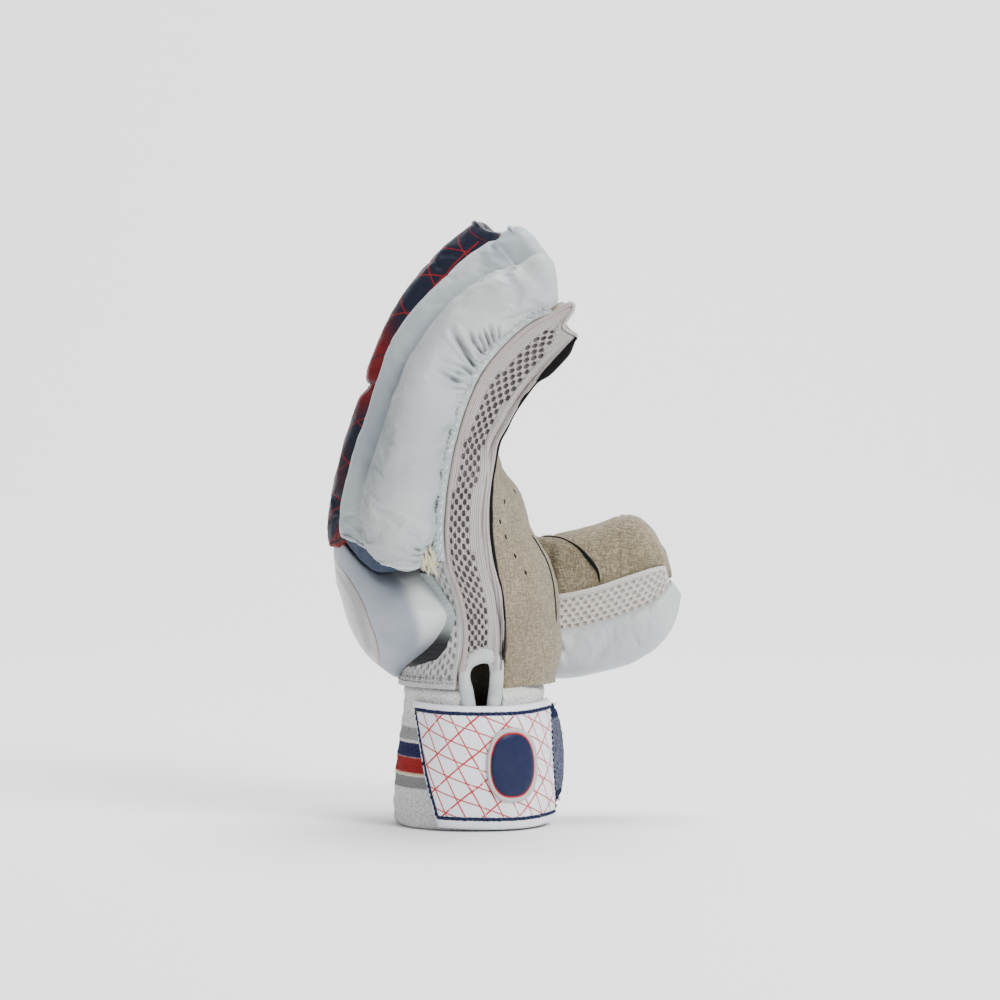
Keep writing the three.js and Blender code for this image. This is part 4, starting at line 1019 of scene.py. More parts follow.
def makePalm():
    levels = np.linspace(0, handTop, 110)
    shift = -0.25 - 0.9 * (1 - easeBetween(levels, 1.2, 2.2))
    near = np.array([edgeAngles([u], -1, "edge", s)[0] for u, s in zip(levels, shift)])
    far = edgeAngles(levels, 1, "edge", -0.25) + 4 * quarter
    share = np.linspace(0, 1, 150)[None, :]
    angle = near[:, None] + (far - near)[:, None] * share
    u = levels[:, None] + 0 * share
    outer = handPoint(u, angle)
    bumps = softNoise(outer, 16, 21) * 0.35 + softNoise(outer, 45, 22) * 0.4
    fade = easeBetween(share, 0, 0.06) * easeBetween(1 - share, 0, 0.06)
    # creases across the palm where the hand closes
    creaseAndPaintedShade = np.zeros_like(u)
    for where, lean, depth in ((6.2, 1.4, 1.2), (7.3, 0.7, 1.0), (4.6, -2.0, 0.8)):
        creaseAndPaintedShade -= depth * np.exp(-((u - where - lean * (share - 0.5)) / 0.13) ** 2)
    creaseAndPaintedShade *= easeBetween(np.abs(share - 0.5), 0.02, 0.16) * easeBetween(share, 0.3, 0.42)
    hem = 1.3 * np.exp(-(u / 0.16) ** 2)
    outer = handPoint(u, angle, (bumps + creaseAndPaintedShade) * fade + hem)
    inner = handPoint(u, angle, -panel["palmWall"])
    # hollowed a little over the thumb's root
    hollow = np.interp(outer[..., 2] * 1000, palmHollow["z"], palmHollow["in"]) * easeBetween(share, 0.05, 0.3)
    outer[..., 0] -= hollow / 1000
    inner[..., 0] -= hollow / 1000
    addPiece("palmSuede", shellMesh("palm", outer, inner), palmSuede, ["palm"])
    normal = gridNormals(outer, False)
    facing = -1.0 if (normal[60, 75] * [1, 0, 0]).sum() < 0 else 1.0
    return outer, facing


palmMarks = {  # where they show in the picture, in its pixels
    "holes": [(514.4, 491.3), (504.4, 501.6), (500, 521.7), (505.7, 537), (515, 556), (525.5, 572.7)],
    "thumbSeamX": [531.5, 539, 546.5, 552, 555, 556],
    "thumbSeamY": [535, 547, 561, 579, 601, 622],
}


def makePalmMarks(grid, facing):
    points, faces = [], []
    for here, out in zip(*seenOn(grid, palmMarks["holes"], facing)):  # punched holes, drawn as black caps with a turned-in rim; the black is painted shade of the holes' inside
        side = np.cross(out, [0, 0, 1.0])
        side /= np.linalg.norm(side)
        up = np.cross(side, out)
        ring = np.linspace(0, 4 * quarter, 18, endpoint=False)
        base = sum(len(q) for q in points)
        stack = []
        for size, lift in ((1.05, -0.3), (1.0, 0.16), (0.85, 0.24), (0.6, 0.2), (0.3, 0.18)):
            lean = np.cos(ring)[:, None] * side * 0.62 + np.sin(ring)[:, None] * (up + 0.3 * side)
            stack.append(here + (out * lift + lean * size) / 1000)
        points.append(np.concatenate(stack))
        faces += [tuple(q) for q in gridQuads(5, 18, wrapColumns=True, start=base)]
        faces.append(tuple(base + k for k in range(18))[::-1])
        faces.append(tuple(base + 4 * 18 + k for k in range(18)))
    addPiece("palmHoles", makeMesh("palmHoles", np.concatenate(points), faces), blackCloth, ())
    # the stitched seam where the thumb is set in
    table = {"k": [0, 1, 2, 3, 4, 5], "x": palmMarks["thumbSeamX"], "y": palmMarks["thumbSeamY"]}
    t = np.linspace(0, 5, 60)
    spots = np.stack([smooth(table, "x", t), smooth(table, "y", t)], axis=-1)
    line, outs = seenOn(grid, spots, facing)
    for _ in range(4):
        line[1:-1] = (line[:-2] + 2 * line[1:-1] + line[2:]) / 4
    radii = 0.0004 * np.minimum(1, np.minimum(np.arange(60), np.arange(60)[::-1]) / 6 + 0.3)
    cord = tubePoints(line + outs * 0.0001, radii, 8)
    addPiece("thumbSeamCord", closedLoft("thumbSeamCord", cord), blackThread, ())
    beside = line - np.array([0.0013, 0, 0])
    mesh = stitchMesh("thumbSeamStitches", beside + outs * 0.00035, outs, 0.0021, 0.0013, 0.0002, 0.00008)
    addPiece("thumbSeamStitches", mesh, greyThread, ())


def gridLengths(grid):  # arc length down the middle column, and the breadth of each row, in mm
    middle = grid[:, grid.shape[1] // 2]
    along = np.concatenate([[0], np.cumsum(np.linalg.norm(np.diff(middle, axis=0), axis=1))]) * 1000
    across = np.linalg.norm(np.diff(grid, axis=1), axis=2).sum(axis=1) * 1000
    return along, across


def evenGrid(grid, rows):  # the same surface with its rows and its columns equally far apart
    columns = grid.shape[1]
    steps = np.linalg.norm(np.diff(grid, axis=1), axis=2)
    reach = np.concatenate([np.zeros((len(grid), 1)), np.cumsum(steps, axis=1)], axis=1)
    shares = np.array([np.interp(np.linspace(0, line[-1], columns), line, np.linspace(0, 1, columns)) for line in reach])
    down = np.broadcast_to(np.linspace(0, 1, len(grid))[:, None], shares.shape)
    grid = surfaceSampler(grid)(down, shares)[0]
    along = gridLengths(grid)[0]
    where = np.interp(np.linspace(0, along[-1], rows), along, np.arange(len(grid)))
    return surfaceSampler(grid)(np.broadcast_to(where[:, None] / (len(grid) - 1), (rows, columns)),
                                np.broadcast_to(np.linspace(0, 1, columns), (rows, columns)))[0]


def foldAlong(points, line, width, depth, lips=0.45):
    # how far points sink along a crease: a groove with raised lips that thins out to the line's end
    away = np.full(points.shape[:-1], 1e9)
    share = np.zeros(points.shape[:-1])
    for k in range(len(line) - 1):
        a, b = line[k], line[k + 1]
        t = np.clip(((points - a) @ (b - a)) / max(((b - a) ** 2).sum(), 1e-12), 0, 1)
        d = np.linalg.norm(points - (a + t[..., None] * (b - a)), axis=-1) * 1000
        closer = d < away
        away = np.where(closer, d, away)
        share = np.where(closer, (k + t) / (len(line) - 1), share)
    fade = np.clip(1 - share, 0, 1) ** 0.55
    offset = away / (width * (1 + 1.2 * share))
    return depth * fade * (lips * np.exp(-((offset - 1.9) / 0.9) ** 2) - np.exp(-offset ** 2))


def mirrored(points):  # the same points on the glove's other side
    out = points.copy()
    out[..., 1] = 2 * shiftY / 1000 - out[..., 1]
    return out


def lacySheet(name, grid, facing, column, row, hole, inField, rim=0.5, deep=1.1, lift=0.0, relief=None, floor=False,
              skip=None):
    # a knitted sheet over a grid of points, with real holes in staggered columns; all sizes in mm
    along, across = gridLengths(grid)
    at = surfaceSampler(grid)
    length, widest = along[-1], across.max()
    columns = max(3, int(round(widest / column)))
    rows = int(length // row)
    sideSteps, endSteps = 8, 3
    points, spots, faces, materials, index = [], [], [], [], {}

    def vertex(a, b, drop, key=None):
        if key is not None and key in index:
            return index[key]
        s = np.array(a / length)
        t = np.array(b / widest)
        p, n = at(s, t)
        n = n * facing
        height = lift + (relief(a, b) if relief else 0.0)
        points.append(p + n * (height - drop) / 1000)
        spots.append((b, a, 0.0))
        if key is not None:
            index[key] = len(points) - 1
        return len(points) - 1

    stepA = row / sideSteps
    stepB = widest / columns
    for j in range(columns):
        offset = 0 if j % 2 == 0 else sideSteps // 2
        for k in range(-1, rows + 1):
            i0 = k * sideSteps + offset
            i1 = i0 + sideSteps
            lo, hi = max(i0, 0), min(i1, rows * sideSteps)
            if hi <= lo or (skip and skip(at(np.array((lo + hi) / 2 * stepA / length), np.array((j + 0.5) / columns))[0])):
                continue
            rect = []
            for i in range(lo, hi):
                rect.append((i, j * endSteps))
            for e in range(endSteps):
                rect.append((hi, j * endSteps + e))
            for i in range(hi, lo, -1):
                rect.append((i, (j + 1) * endSteps))
            for e in range(endSteps, 0, -1):
                rect.append((lo, j * endSteps + e))
            ring = [vertex(i * stepA, e * stepB / endSteps, 0.0, (i, e)) for i, e in rect]
            middleA, middleB = (lo + hi) / 2 * stepA, (j + 0.5) * stepB
            open_ = (hi - lo == sideSteps) and inField(middleA, middleB / widest)
            if not open_:
                # plain knit: a lattice of quads inside the cell
                table = {}
                for i in range(lo, hi + 1):
                    for e in range(endSteps + 1):
                        table[i, e] = vertex(i * stepA, (j * endSteps + e) * stepB / endSteps, 0.0, (i, j * endSteps + e))
                for i in range(lo, hi):
                    for e in range(endSteps):
                        faces.append((table[i, e], table[i, e + 1], table[i + 1, e + 1], table[i + 1, e]))
                        materials.append(0)
                continue
            jitter = rng.normal(0, 0.05, 2)
            size = hole * (1 + rng.normal(0, 0.05))
            size = size * [1, np.clip(widest / np.interp(middleA, along, across), 1, 1.25)]
            previous = ring
            cellA, cellB = row / 2, stepB / 2
            loops = ((0.35, 0.0 - 0.05), (1.0, rim * 0.35), (0.98, rim), (0.9, deep))
            for share, drop in loops:
                loop = []
                for i, e in rect:
                    ra, rb = i * stepA - middleA, e * stepB / endSteps - middleB
                    bearing = math.atan2(rb / cellB, ra / cellA)
                    ea, eb = size[0] * math.cos(bearing), size[1] * math.sin(bearing)
                    if share == 0.35:
                        a, b = ra * 0.55 + ea * 0.55, rb * 0.55 + eb * 0.55
                    else:
                        a, b = ea * share, eb * share
                    loop.append(vertex(middleA + a + jitter[0], middleB + b + jitter[1], drop))
                for q in range(len(rect)):
                    n = (q + 1) % len(rect)
                    faces.append((previous[q], previous[n], loop[n], loop[q]))
                    materials.append(0)
                previous = loop
            if floor:
                faces.append(tuple(previous))
                materials.append(1)
    mesh = makeMesh(name, points, faces, {"spot": np.array(spots)}, closed=False)
    mesh.polygons.foreach_set("material_index", materials)
    return mesh


def gussetGrid(side, rows=150, columns=25):
    start = gusset["nearStart"] if side < 0 else 0.0
    handLevels = np.linspace(start, handTop, int(rows * 0.55))
    fingerLevels = np.linspace(handTop, 13, rows - len(handLevels) + 1)[1:]
    share = np.linspace(0, 1, columns)[None, :]
    seam = edgeAngles(handLevels, side, "seam", -0.25)
    edge = edgeAngles(handLevels, side, "edge", 0.25)
    angle = seam[:, None] + (edge - seam)[:, None] * share
    lower = handPoint(handLevels[:, None] + 0 * share, angle)
    lift = panel["farLift"] if side > 0 else 0
    u = fingerLevels[:, None] + 0 * share
    high = seamHeight(u) + lift - 0.25
    low = (smooth(palmEdge, "height", u) if side < 0 else panel["farEdge"]) + 0.25
    tip = np.interp(share, [0, 0.08, 0.17, 0.25, 0.33, 0.39, 0.5, 0.75, 0.93, 1],
                    [6.4, 7.6, 7.4, 6.0, 3.2, 0.6, -1.6, -0.5, 1.2, 0.6])
    past = tip * easeBetween(u, 12.3, 13)
    upper = place(u, high + (low - high) * share, side * 52.9, past)
    # near the fingers it stands a little further out, clear of the finger behind it
    least = 44 + 8.6 * easeBetween(handLevels, 7.0, 8.1)[:, None]
    lower[..., 1] = np.where(side < 0, np.minimum(lower[..., 1], (shiftY - least) / 1000),
                             np.maximum(lower[..., 1], (shiftY + least) / 1000))
    grid = np.concatenate([lower, upper])
    # even out where the hand's wall turns into the finger's strip
    for _ in range(14):
        grid[2:-2] = (grid[1:-3] + 2 * grid[2:-2] + grid[3:-1]) / 4
    return evenGrid(grid, rows)


gusset = {
    "column": 1.8, "row": 4.6, "hole": (1.42, 0.86), "nearStart": 0.7,
    "fieldU": [0, 0.08, 0.25, 0.45, 0.55, 0.7, 0.86, 0.93, 1],
    "fieldLow": [0.12, 0.08, 0.06, 0.1, 0.18, 0.27, 0.31, 0.32, 0.3],
    "fieldHigh": [0.62, 0.6, 0.55, 0.52, 0.58, 0.7, 0.76, 0.66, 0.3],
}
vent = {"z": [47.5, 66, 72.6, 76.4], "left": [-6.3, -6.1, -3.6, 0.9], "right": [6.9, 7.2, 5.2, 0.9]}


def insideVent(point):
    x, z = point[..., 0] * 1000 - shiftX, point[..., 2] * 1000
    inside = (np.interp(z, vent["z"], vent["left"]) < x) & (x < np.interp(z, vent["z"], vent["right"]))
    return bool(inside & (z < vent["z"][-1]) & (point[..., 1] < 0))


def makeGusset(side, name, node):
    grid = gussetGrid(side)
    along, across = gridLengths(grid)
    length, widest = along[-1], across.max()
    facing = 1.0
    normal = gridNormals(grid, False)
    if (normal[60, 12][1] > 0) == (side < 0):
        facing = -1.0
    ridgeAt = {"s": [0, 0.3, 0.5, 0.7, 1], "t": [0.84, 0.72, 0.7, 0.78, 0.84]}

    def relief(a, b):  # a fold and a groove run lengthways down the plain band
        s, t = a / length, b / widest
        fold = float(np.interp(s, ridgeAt["s"], ridgeAt["t"]))
        ridge = 0.9 * math.exp(-((t - fold) / 0.055) ** 2) + 0.8 * math.exp(-((t - fold - 0.2) / 0.05) ** 2)
        groove = -1.7 * math.exp(-((t - fold - 0.105) / 0.04) ** 2)
        fade = min(1.0, max(0.0, (1 - s) * 9))
        slow = 0.5 * noise.noise(Vector((a * 0.05, b * 0.12, side * 3.0)))
        return (ridge + groove) * fade + slow

    def inField(a, t):
        s = a / length
        low = float(np.interp(s, gusset["fieldU"], gusset["fieldLow"]))
        high = float(np.interp(s, gusset["fieldU"], gusset["fieldHigh"]))
        return low < t < high

    hole = np.array(gusset["hole"])
    mesh = lacySheet(name, grid, facing, gusset["column"], gusset["row"], hole, inField, 0.35, 1.0, 0.1, relief, False,
                     insideVent)
    addPiece(name, mesh, knitMesh, [node])
    normal = gridNormals(grid, False) * facing
    keep = np.array([[not insideVent(p) for p in row] for row in grid[:-1, :-1]])
    keep[-3:] = False
    # a dark sheet behind the holes, painted shade of the glove's inside
    backing = shellMesh(name + "Backing", grid - normal * 0.0012, grid - normal * 0.0021, keep)
    addPiece(name + "Backing", backing, meshShadeBacking, ())
    # its turned hem over the fingertip
    stations = np.linspace(0, grid.shape[1] - 1, 97)
    line, ups = [np.stack([np.interp(stations, np.arange(grid.shape[1]), row[:, k]) for k in range(3)], axis=-1)
                 for row in (grid[-1] - normal[-1] * 0.0003, normal[-1])]
    for _ in range(14):
        line[1:-1] = (line[:-2] + 2 * line[1:-1] + line[2:]) / 4
    hem = tubePoints(line, 0.00085, 10, 1.0, ups)
    addPiece(name + "Hem", closedLoft("meshHem", hem), knitMesh, ())
    tab = shellMesh(name + "Tab", (grid - normal * 0.0004)[-7:], (grid - normal * 0.0011)[-7:])
    addPiece(name + "Tab", tab, knitMesh, ())
    return grid, normal


def makeBackPanel():
    levels = np.linspace(0, handTop, 90)
    near = edgeAngles(levels, -1, "seam", 0.25)
    far = edgeAngles(levels, 1, "seam", 0.25)
    share = np.linspace(0, 1, 90)[None, :]
    angle = near[:, None] + (far - near)[:, None] * share
    grid = evenGrid(handPoint(levels[:, None] + 0 * share, angle), 90)
    normal = gridNormals(grid, False)
    facing = -1.0 if normal[30, 45][0] > 0 else 1.0

    def inField(a, t):
        return 3.5 < a < 62 and 0.015 < t < 0.985

    hole = np.array((1.5, 0.98))
    mesh = lacySheet("back_panel", grid, facing, 2.75, 4.6, hole, inField, 0.35, 0.75, 0.0, None, True)
    addPiece("backMesh", mesh, [knitLight, holeShadeFloor], ["back_panel"])
    normal = normal * facing
    addPiece("backLining", shellMesh("backLining", grid - normal * 0.0011, grid - normal * 0.002), lining, ())
    # a stitched line round the hem
    for name, inside in (("Low", 0.02), ("High", 0.035)):
        t = np.linspace(0, 1, 160)
        line, outs = surfaceSampler(grid)(np.full(160, inside), t)
        mesh = stitchMesh("hemStitches", line + outs * facing * 0.0002, outs * facing, 0.0026, 0.0015, 0.00024, 0.0001)
        addPiece("hemStitches" + name, mesh, greyThread, ())
    return grid, facing


palmGrid, palmFacing = makePalm()
makePalmMarks(palmGrid, palmFacing)
nearGrid, nearNormal = makeGusset(-1, "littleSideMesh", "little_side_gusset")
farGrid, farNormal = makeGusset(1, "indexSideMesh", "index_side_gusset")
backGrid, backFacing = makeBackPanel()
print("palm, gussets and back panel")

# fingers

fingers = {
    "name": ["little", "ring", "middle", "index"],
    "y": [-38.0, -13.0, 12.0, 37.0],
    "rootDrop": [4.5, 1, 0, 3],
    "tipDrop": [12.5, 1, 0, 10],
    "rollTip": [11.8, 8.6, 8.6, 5.6],
    "half": 12.0, "height": 27.0, "wall": 1.8, "root": 8.35,
    "palmSide": -1.2, "backSide": 8.0,
}


def archAt(y):
    return 9 - 0.00425 * (y - 8) ** 2


def makeFinger(i):
    y = fingers["y"][i]
    middle = archAt(y) + fingers["height"] / 2
    columns = 72
    angle = np.linspace(0, 4 * quarter, columns, endpoint=False)[None, :]

    def ring(u, reach, scale, wall, past=0.0):
        across = (fingers["half"] - wall) * scale * signedPower(np.cos(angle), 0.62)
        up = (fingers["height"] / 2 - wall) * scale * signedPower(np.sin(angle), 0.62)
        slant = fingers["palmSide"] + (fingers["backSide"] - fingers["palmSide"]) * (up / fingers["height"] + 0.5)
        shift = reach * (slant - wall) - (1 - scale) * 1.5 * reach + past
        u = np.asarray(u, float)
        body = place(u + 0 * up, middle + up, y + across, shift)
        return body

    def shell(wall):
        us = np.concatenate([[fingers["root"]], np.linspace(8.5, 12.2, 46), [12.45, 12.65]])[:, None]
        rows = [ring(us, 0.0 * us, 1.0, wall)]
        tip = [(-0.5, 1.0), (-0.2, 0.99), (0.1, 0.97), (0.35, 0.92), (0.55, 0.84), (0.7, 0.72), (0.8, 0.56), (0.86, 0.38),
               (0.88, 0.16)]
        rows += [ring(np.array([[13.0]]), reach, scale, wall) for reach, scale in tip]
        return np.concatenate(rows)

    outer, inner = shell(0.0), shell(fingers["wall"])
    up = np.sin(angle)
    fade = np.ones((outer.shape[0], 1))
    fade[:2] = 0
    normal = gridNormals(outer, True)
    if ((outer[20] - outer[20].mean(axis=0)) * normal[20]).sum() < 0:
        normal = -normal
    shares = np.linspace(0, 1, outer.shape[0])[:, None]
    creases = np.zeros(outer.shape[:2])
    for where in (0.1, 0.33, 0.36, 0.62, 0.66, 0.9):
        creases -= (0.35 + 0.4 * rng.random()) * np.exp(-((shares - where - 0.02 * np.sin(angle * 2)) / 0.014) ** 2)
    palmSide = easeBetween(-up, -0.2, 0.6)
    push = (creases * palmSide + 0.35 * softNoise(outer, 7, 30 + i)) * fade
    outer = outer + normal * push[..., None] / 1000
    rings = np.concatenate([inner[::-1], outer])
    piece = addPiece(fingers["name"][i] + "FingerSuede", closedLoft(fingers["name"][i] + "_finger", rings), palmSuede,
                     [fingers["name"][i] + "_finger"])
    # the seam over each fingertip, with its stitches
    for k, sideName in enumerate(("Near", "Far")):
        line = outer[8:-9, [columns // 2, 0][k]]
        out = np.array([0, -1.0 if k == 0 else 1.0, 0])
        line = line + out * 0.0003
        mesh = stitchMesh("fingerStitches", line, out, 0.0034, 0.0022, 0.00026, 0.0001)
        addPiece(fingers["name"][i] + "FingerStitches" + sideName, mesh, creamThread, ())
    return outer


for i in range(4):
    makeFinger(i)
print("fingers")

# finger rolls and side rolls

rollShape = {"half": 12.1, "baseLow": 30.4, "baseHigh": 27.7, "start": 4.5, "splits": (8.95, 11.5)}


def rollBase(u, fingerY, y):
    share = easeBetween(u, handTop + 0.1, handTop + 1.2)
    low, high = archAt(y) + rollShape["baseLow"], archAt(fingerY) + rollShape["baseHigh"]
    return low + (high - low) * share


def rollRing(u, past, i, scaleUp, scaleAcross, sunk=0.0, columns=72):
    y0 = fingers["y"][i]
    angle = np.linspace(0, 4 * quarter, columns, endpoint=False)[None, :]
    drop = fingers["rootDrop"][i] + (fingers["tipDrop"][i] - fingers["rootDrop"][i]) * (u - 4.5) / 8.5
    if i in (0, 3):  # the outer rolls sink a little at the knuckles and stand higher at the bend
        drop = drop + np.interp(u, [4.5, 5.5, 8, 10, 11.5, 13], [2.2, 1.6, -0.6, -1.8, 0, 0])
    crest = backHeight(u) - drop - sunk
    low = rollBase(u, y0, y0)
    waist = low + (crest - low) * 0.36
    up = np.sin(angle)
    y = y0 + rollShape["half"] * signedPower(np.cos(angle), 0.74) * scaleAcross
    base = rollBase(u, y0, y)
    reach = np.where(up > 0, (crest - waist) * np.abs(up) ** 0.85, (base - waist) * np.abs(up) ** 0.5)
    return place(u + 0 * up, waist + reach * scaleUp, y, past)


# how a roll's section shrinks over its end: scale, and share of the end's reach
endSteps = [(1.0, 0.2), (0.995, 0.36), (0.975, 0.52), (0.935, 0.66), (0.87, 0.78), (0.77, 0.875), (0.62, 0.945), (0.42, 0.985),
            (0.2, 1.0)]


def addLip(name, ring, size, material, grow=1.012):  # the turned edge where a roll's end is sewn on
    centre = ring.mean(axis=0)
    path = centre + (ring - centre) * grow
    steps = np.arange(len(path))
    thick = size * (1 + 0.18 * np.sin(steps * 0.9) + 0.12 * np.sin(steps * 2.3 + 1)) / 1000
    points, faces = loopTube(path, thick, 8)
    addPiece(name, makeMesh(name, points, faces), material, ())


def addHook(name, ring, material):  # the folded corner that stands up at the crest of a roll's tip
    centre = ring.mean(axis=0)
    crest = len(ring) // 4
    t = np.linspace(0, 1, 15)
    path = centre + (ring[crest - 7:crest + 8] - centre)
    radii = (0.15 + 0.95 * np.sin(np.pi * t) ** 0.8) / 1000
    tube = tubePoints(path, radii, 10, up=(0, 0, 1))
    values = {"spot": np.zeros_like(tube) + [6, 3, 0], "tint": tube[..., 0] * 0}
    addPiece(name, closedLoft("tipHook", tube, values), material, ())


def creasesOver(reach, across, count, zone, width, depth, length, seed):
    # gathers that start at a seam: reach is the place along it, across the distance from it, all in mm
    local = np.random.default_rng(seed)
    total = np.zeros_like(reach)
    for _ in range(count):
        where = local.uniform(*zone)
        lean = local.normal(0, 0.35)
        w = local.uniform(0.7, 1.3) * width
        d = local.uniform(0.4, 1.2) * depth
        run = local.uniform(0.5, 1.5) * length
        offset = (reach - where - lean * across - 0.4 * np.sin(across * 0.25 + where))
        spread = w * (1 + across / 26)
        total -= d * np.exp(-(offset / spread) ** 2) * np.exp(-(across / run) ** 1.6)
    return total


def makeFingerRoll(i, part, fromU, toU, startRound, endRound, rows, material, nodeName, seed):
    def ring(u, past, up, across, sunk=0.0):
        return rollRing(np.array([[float(u)]]), past, i, up, across, sunk)

    def shoulder(u):  # how far the crest sinks towards the ends of a printed segment, in mm
        if material == shadedFingerLeather:
            return 0.0
        low = 2.8 * max(0.0, 1 - (u - fromU) * 15 / 5.5) ** 2.4 * (fromU > 5) * (1.0 if part == "Middle" else 0.45)
        high = 2.8 * max(0.0, 1 - (toU - u) * 14 / 5.5) ** 2.4 * (toU < 12.5) * (1.0 if part == "Low" else 0.45)
        return low + high

    def slant(u):  # the outer rolls' lower ends rise towards the crest, the printed ones' away from it
        if fromU > 5:
            return 0.0
        up = np.sin(angle)
        rise = 6.0 * easeBetween(up, 0.1, 1.0) - 2.0 if part == "" else 9.5 * (1 - easeBetween(up, 0.66, 0.97)) - 1.0
        return rise * float(1 - easeBetween(u, fromU, fromU + 1.2))

    def lean(u):  # the tip reaches further at the waist than at the crest
        return -7.8 * easeBetween(np.sin(angle), -0.3, 1.0) * float(easeBetween(u, 11.6, 13)) * (part == "Tip")

    pieces = []
    angle = np.linspace(0, 4 * quarter, 72, endpoint=False)[None, :]
    for across, past in endSteps[::-1]:
        pieces.append(ring(fromU, startRound * (1 - past) + slant(fromU), 0.28 + 0.72 * across, 0.72 + 0.28 * across,
                           shoulder(fromU)))
    us = np.linspace(fromU, toU, rows)
    body = [ring(u, startRound * (0.8 if k == 0 else 0.0) + slant(u) + lean(u), 1, 1, shoulder(u)) for k, u in enumerate(us)]
    pieces += body[1:] if startRound else body
    for across, past in endSteps:
        pieces.append(ring(toU, endRound * past + lean(toU), 0.28 + 0.72 * across, 0.72 + 0.28 * across, shoulder(toU)))
    rings = np.concatenate(pieces)
    rowShare = np.linspace(0, 1, len(rings))[:, None]
    columns = rings.shape[1]
    angle = np.linspace(0, 4 * quarter, columns, endpoint=False)[None, :] + 0 * rings[..., 0]
    pins = np.clip((0.35 - np.abs(np.sin(angle) + 1) * 0.9) * 4 + 0.1, 0.05, 1) + (np.minimum(rowShare, 1 - rowShare) < 0.03)
    rings = rings + settledCloth(rings, np.clip(pins, 0, 1), cap=0.0012)
    normal = gridNormals(rings, True)
    centre = rings.mean(axis=1, keepdims=True)
    flip = np.sign(((rings - centre) * normal).sum(axis=-1).mean())
    normal = normal * flip
    along = np.concatenate([[0], np.cumsum(np.linalg.norm(np.diff(centre[:, 0], axis=0), axis=1))]) * 1000
    reach = along[:, None] + 0 * angle
    length = along[-1]
    fromSeam = np.abs(np.abs((angle + quarter) % (4 * quarter) - 2 * quarter) - 2 * quarter) * 10.0
    # creases from the base seams, and rings of puckers at both ends
    push = creasesOver(reach, fromSeam, int(length / 7), (0, length), 1.2, 0.55, 6.0, seed)
    ends = np.minimum(reach, length - reach)
    pucker = np.exp(-(ends / 5.0)) * easeBetween(ends, 0.3, 2.0)
    push += 0.55 * pucker * np.sin(angle * 13 + 1.5 * np.sin(angle * 3 + seed))
    push += 0.6 * softNoise(rings, 15, seed) + 0.25 * softNoise(rings, 5, seed + 1)
    rings = rings + normal * push[..., None] / 1000
    spot = np.stack([(angle - quarter) * 12.5, reach, 0 * reach], axis=-1)
    if toU > 12.5:  # the print runs on over the tip
        first = len(rings) - len(endSteps) - 3
        gap = (rings - rings[first, columns // 4]) * 1000
        over = np.stack([gap[..., 1], reach[first, 0] + np.hypot(gap[..., 0], gap[..., 2]), 0 * reach], axis=-1)
        share = easeBetween(np.arange(len(rings)), first, first + 4)[:, None, None]
        spot = spot + (over - spot) * share
    up = np.sin(angle)
    tint = np.interp(np.linspace(fromU, toU, rings.shape[0]), [4.5, 4.8, 5.2, 7.6, 8.5, 8.9, 9.5, 10.4, 11.3, 12],
                     [0.9, 0.8, 0.3, 0.28, 0.7, 0.9, 0.85, 0.5, 0.15, 0.0])[:, None] * (0.7 + 0.3 * easeBetween(up, 0.3, 0.95))
    name = fingers["name"][i] + "Roll" + part
    mesh = closedLoft(nodeName, rings, {"spot": spot, "tint": tint + 0 * angle})
    piece = addPiece(name, mesh, material, [nodeName])
    if material == shadedFingerLeather:
        addLip(name + "LipRoot", rings[5], 0.55, material)
    if toU > 12.5:
        addHook(name + "Hook", rings[-7], material)
    return rings


def makeFingerRolls():
    low, high = rollShape["splits"]
    start = rollShape["start"]
    for i, name in enumerate(fingers["name"]):
        tip = fingers["rollTip"][i]
        if name in ("little", "index"):
            makeFingerRoll(i, "", start, 13, 3, tip, 150, shadedFingerLeather, name + "_roll", 40 + i)
            continue
        parts = (("Low", start, low - 0.16, 3, 2.5, 74), ("Middle", low, high + 0.14, 1.0, 0.5, 58), ("Tip", high, 13, 0.3, tip, 34))
        for k, (part, fromU, toU, startRound, endRound, rows) in enumerate(parts):
            makeFingerRoll(i, part, fromU, toU, startRound, endRound, rows, printedLeather,
                           name + "_roll_" + part.lower(), 50 + 7 * i + k)
        # the leather that runs on under the bends between the segments
        rings = np.concatenate([rollRing(np.array([[u]]), 0, i, 1, 0.94, 2.6) for u in np.linspace(5.6, 12.8, 90)])
        angle = np.linspace(0, 4 * quarter, rings.shape[1], endpoint=False)[None, :] + 0 * rings[..., 0]
        spot = np.stack([angle * 12.5, np.linspace(0, 150, 90)[:, None] + 0 * angle, 0 * angle], axis=-1)
        mesh = closedLoft("rollHinge", rings, {"spot": spot, "tint": 0.9 + 0 * angle})
        addPiece(name + "RollHinge", mesh, printedLeather, ())


sideRoll = {
    "u": [4.2, 4.7, 6, 8, 10, 12, 13],
    "crestDrop": [21.5, 17, 14.8, 14.8, 17, 22.6, 27],
    "width": [10, 13.5, 15, 15, 15, 14, 11],
}
sideRollShape = {"inner": 53.6, "start": 4.2, "rows": 420, "columns": 168, "offSeam": 2.3, "drawnIn": 3.2}
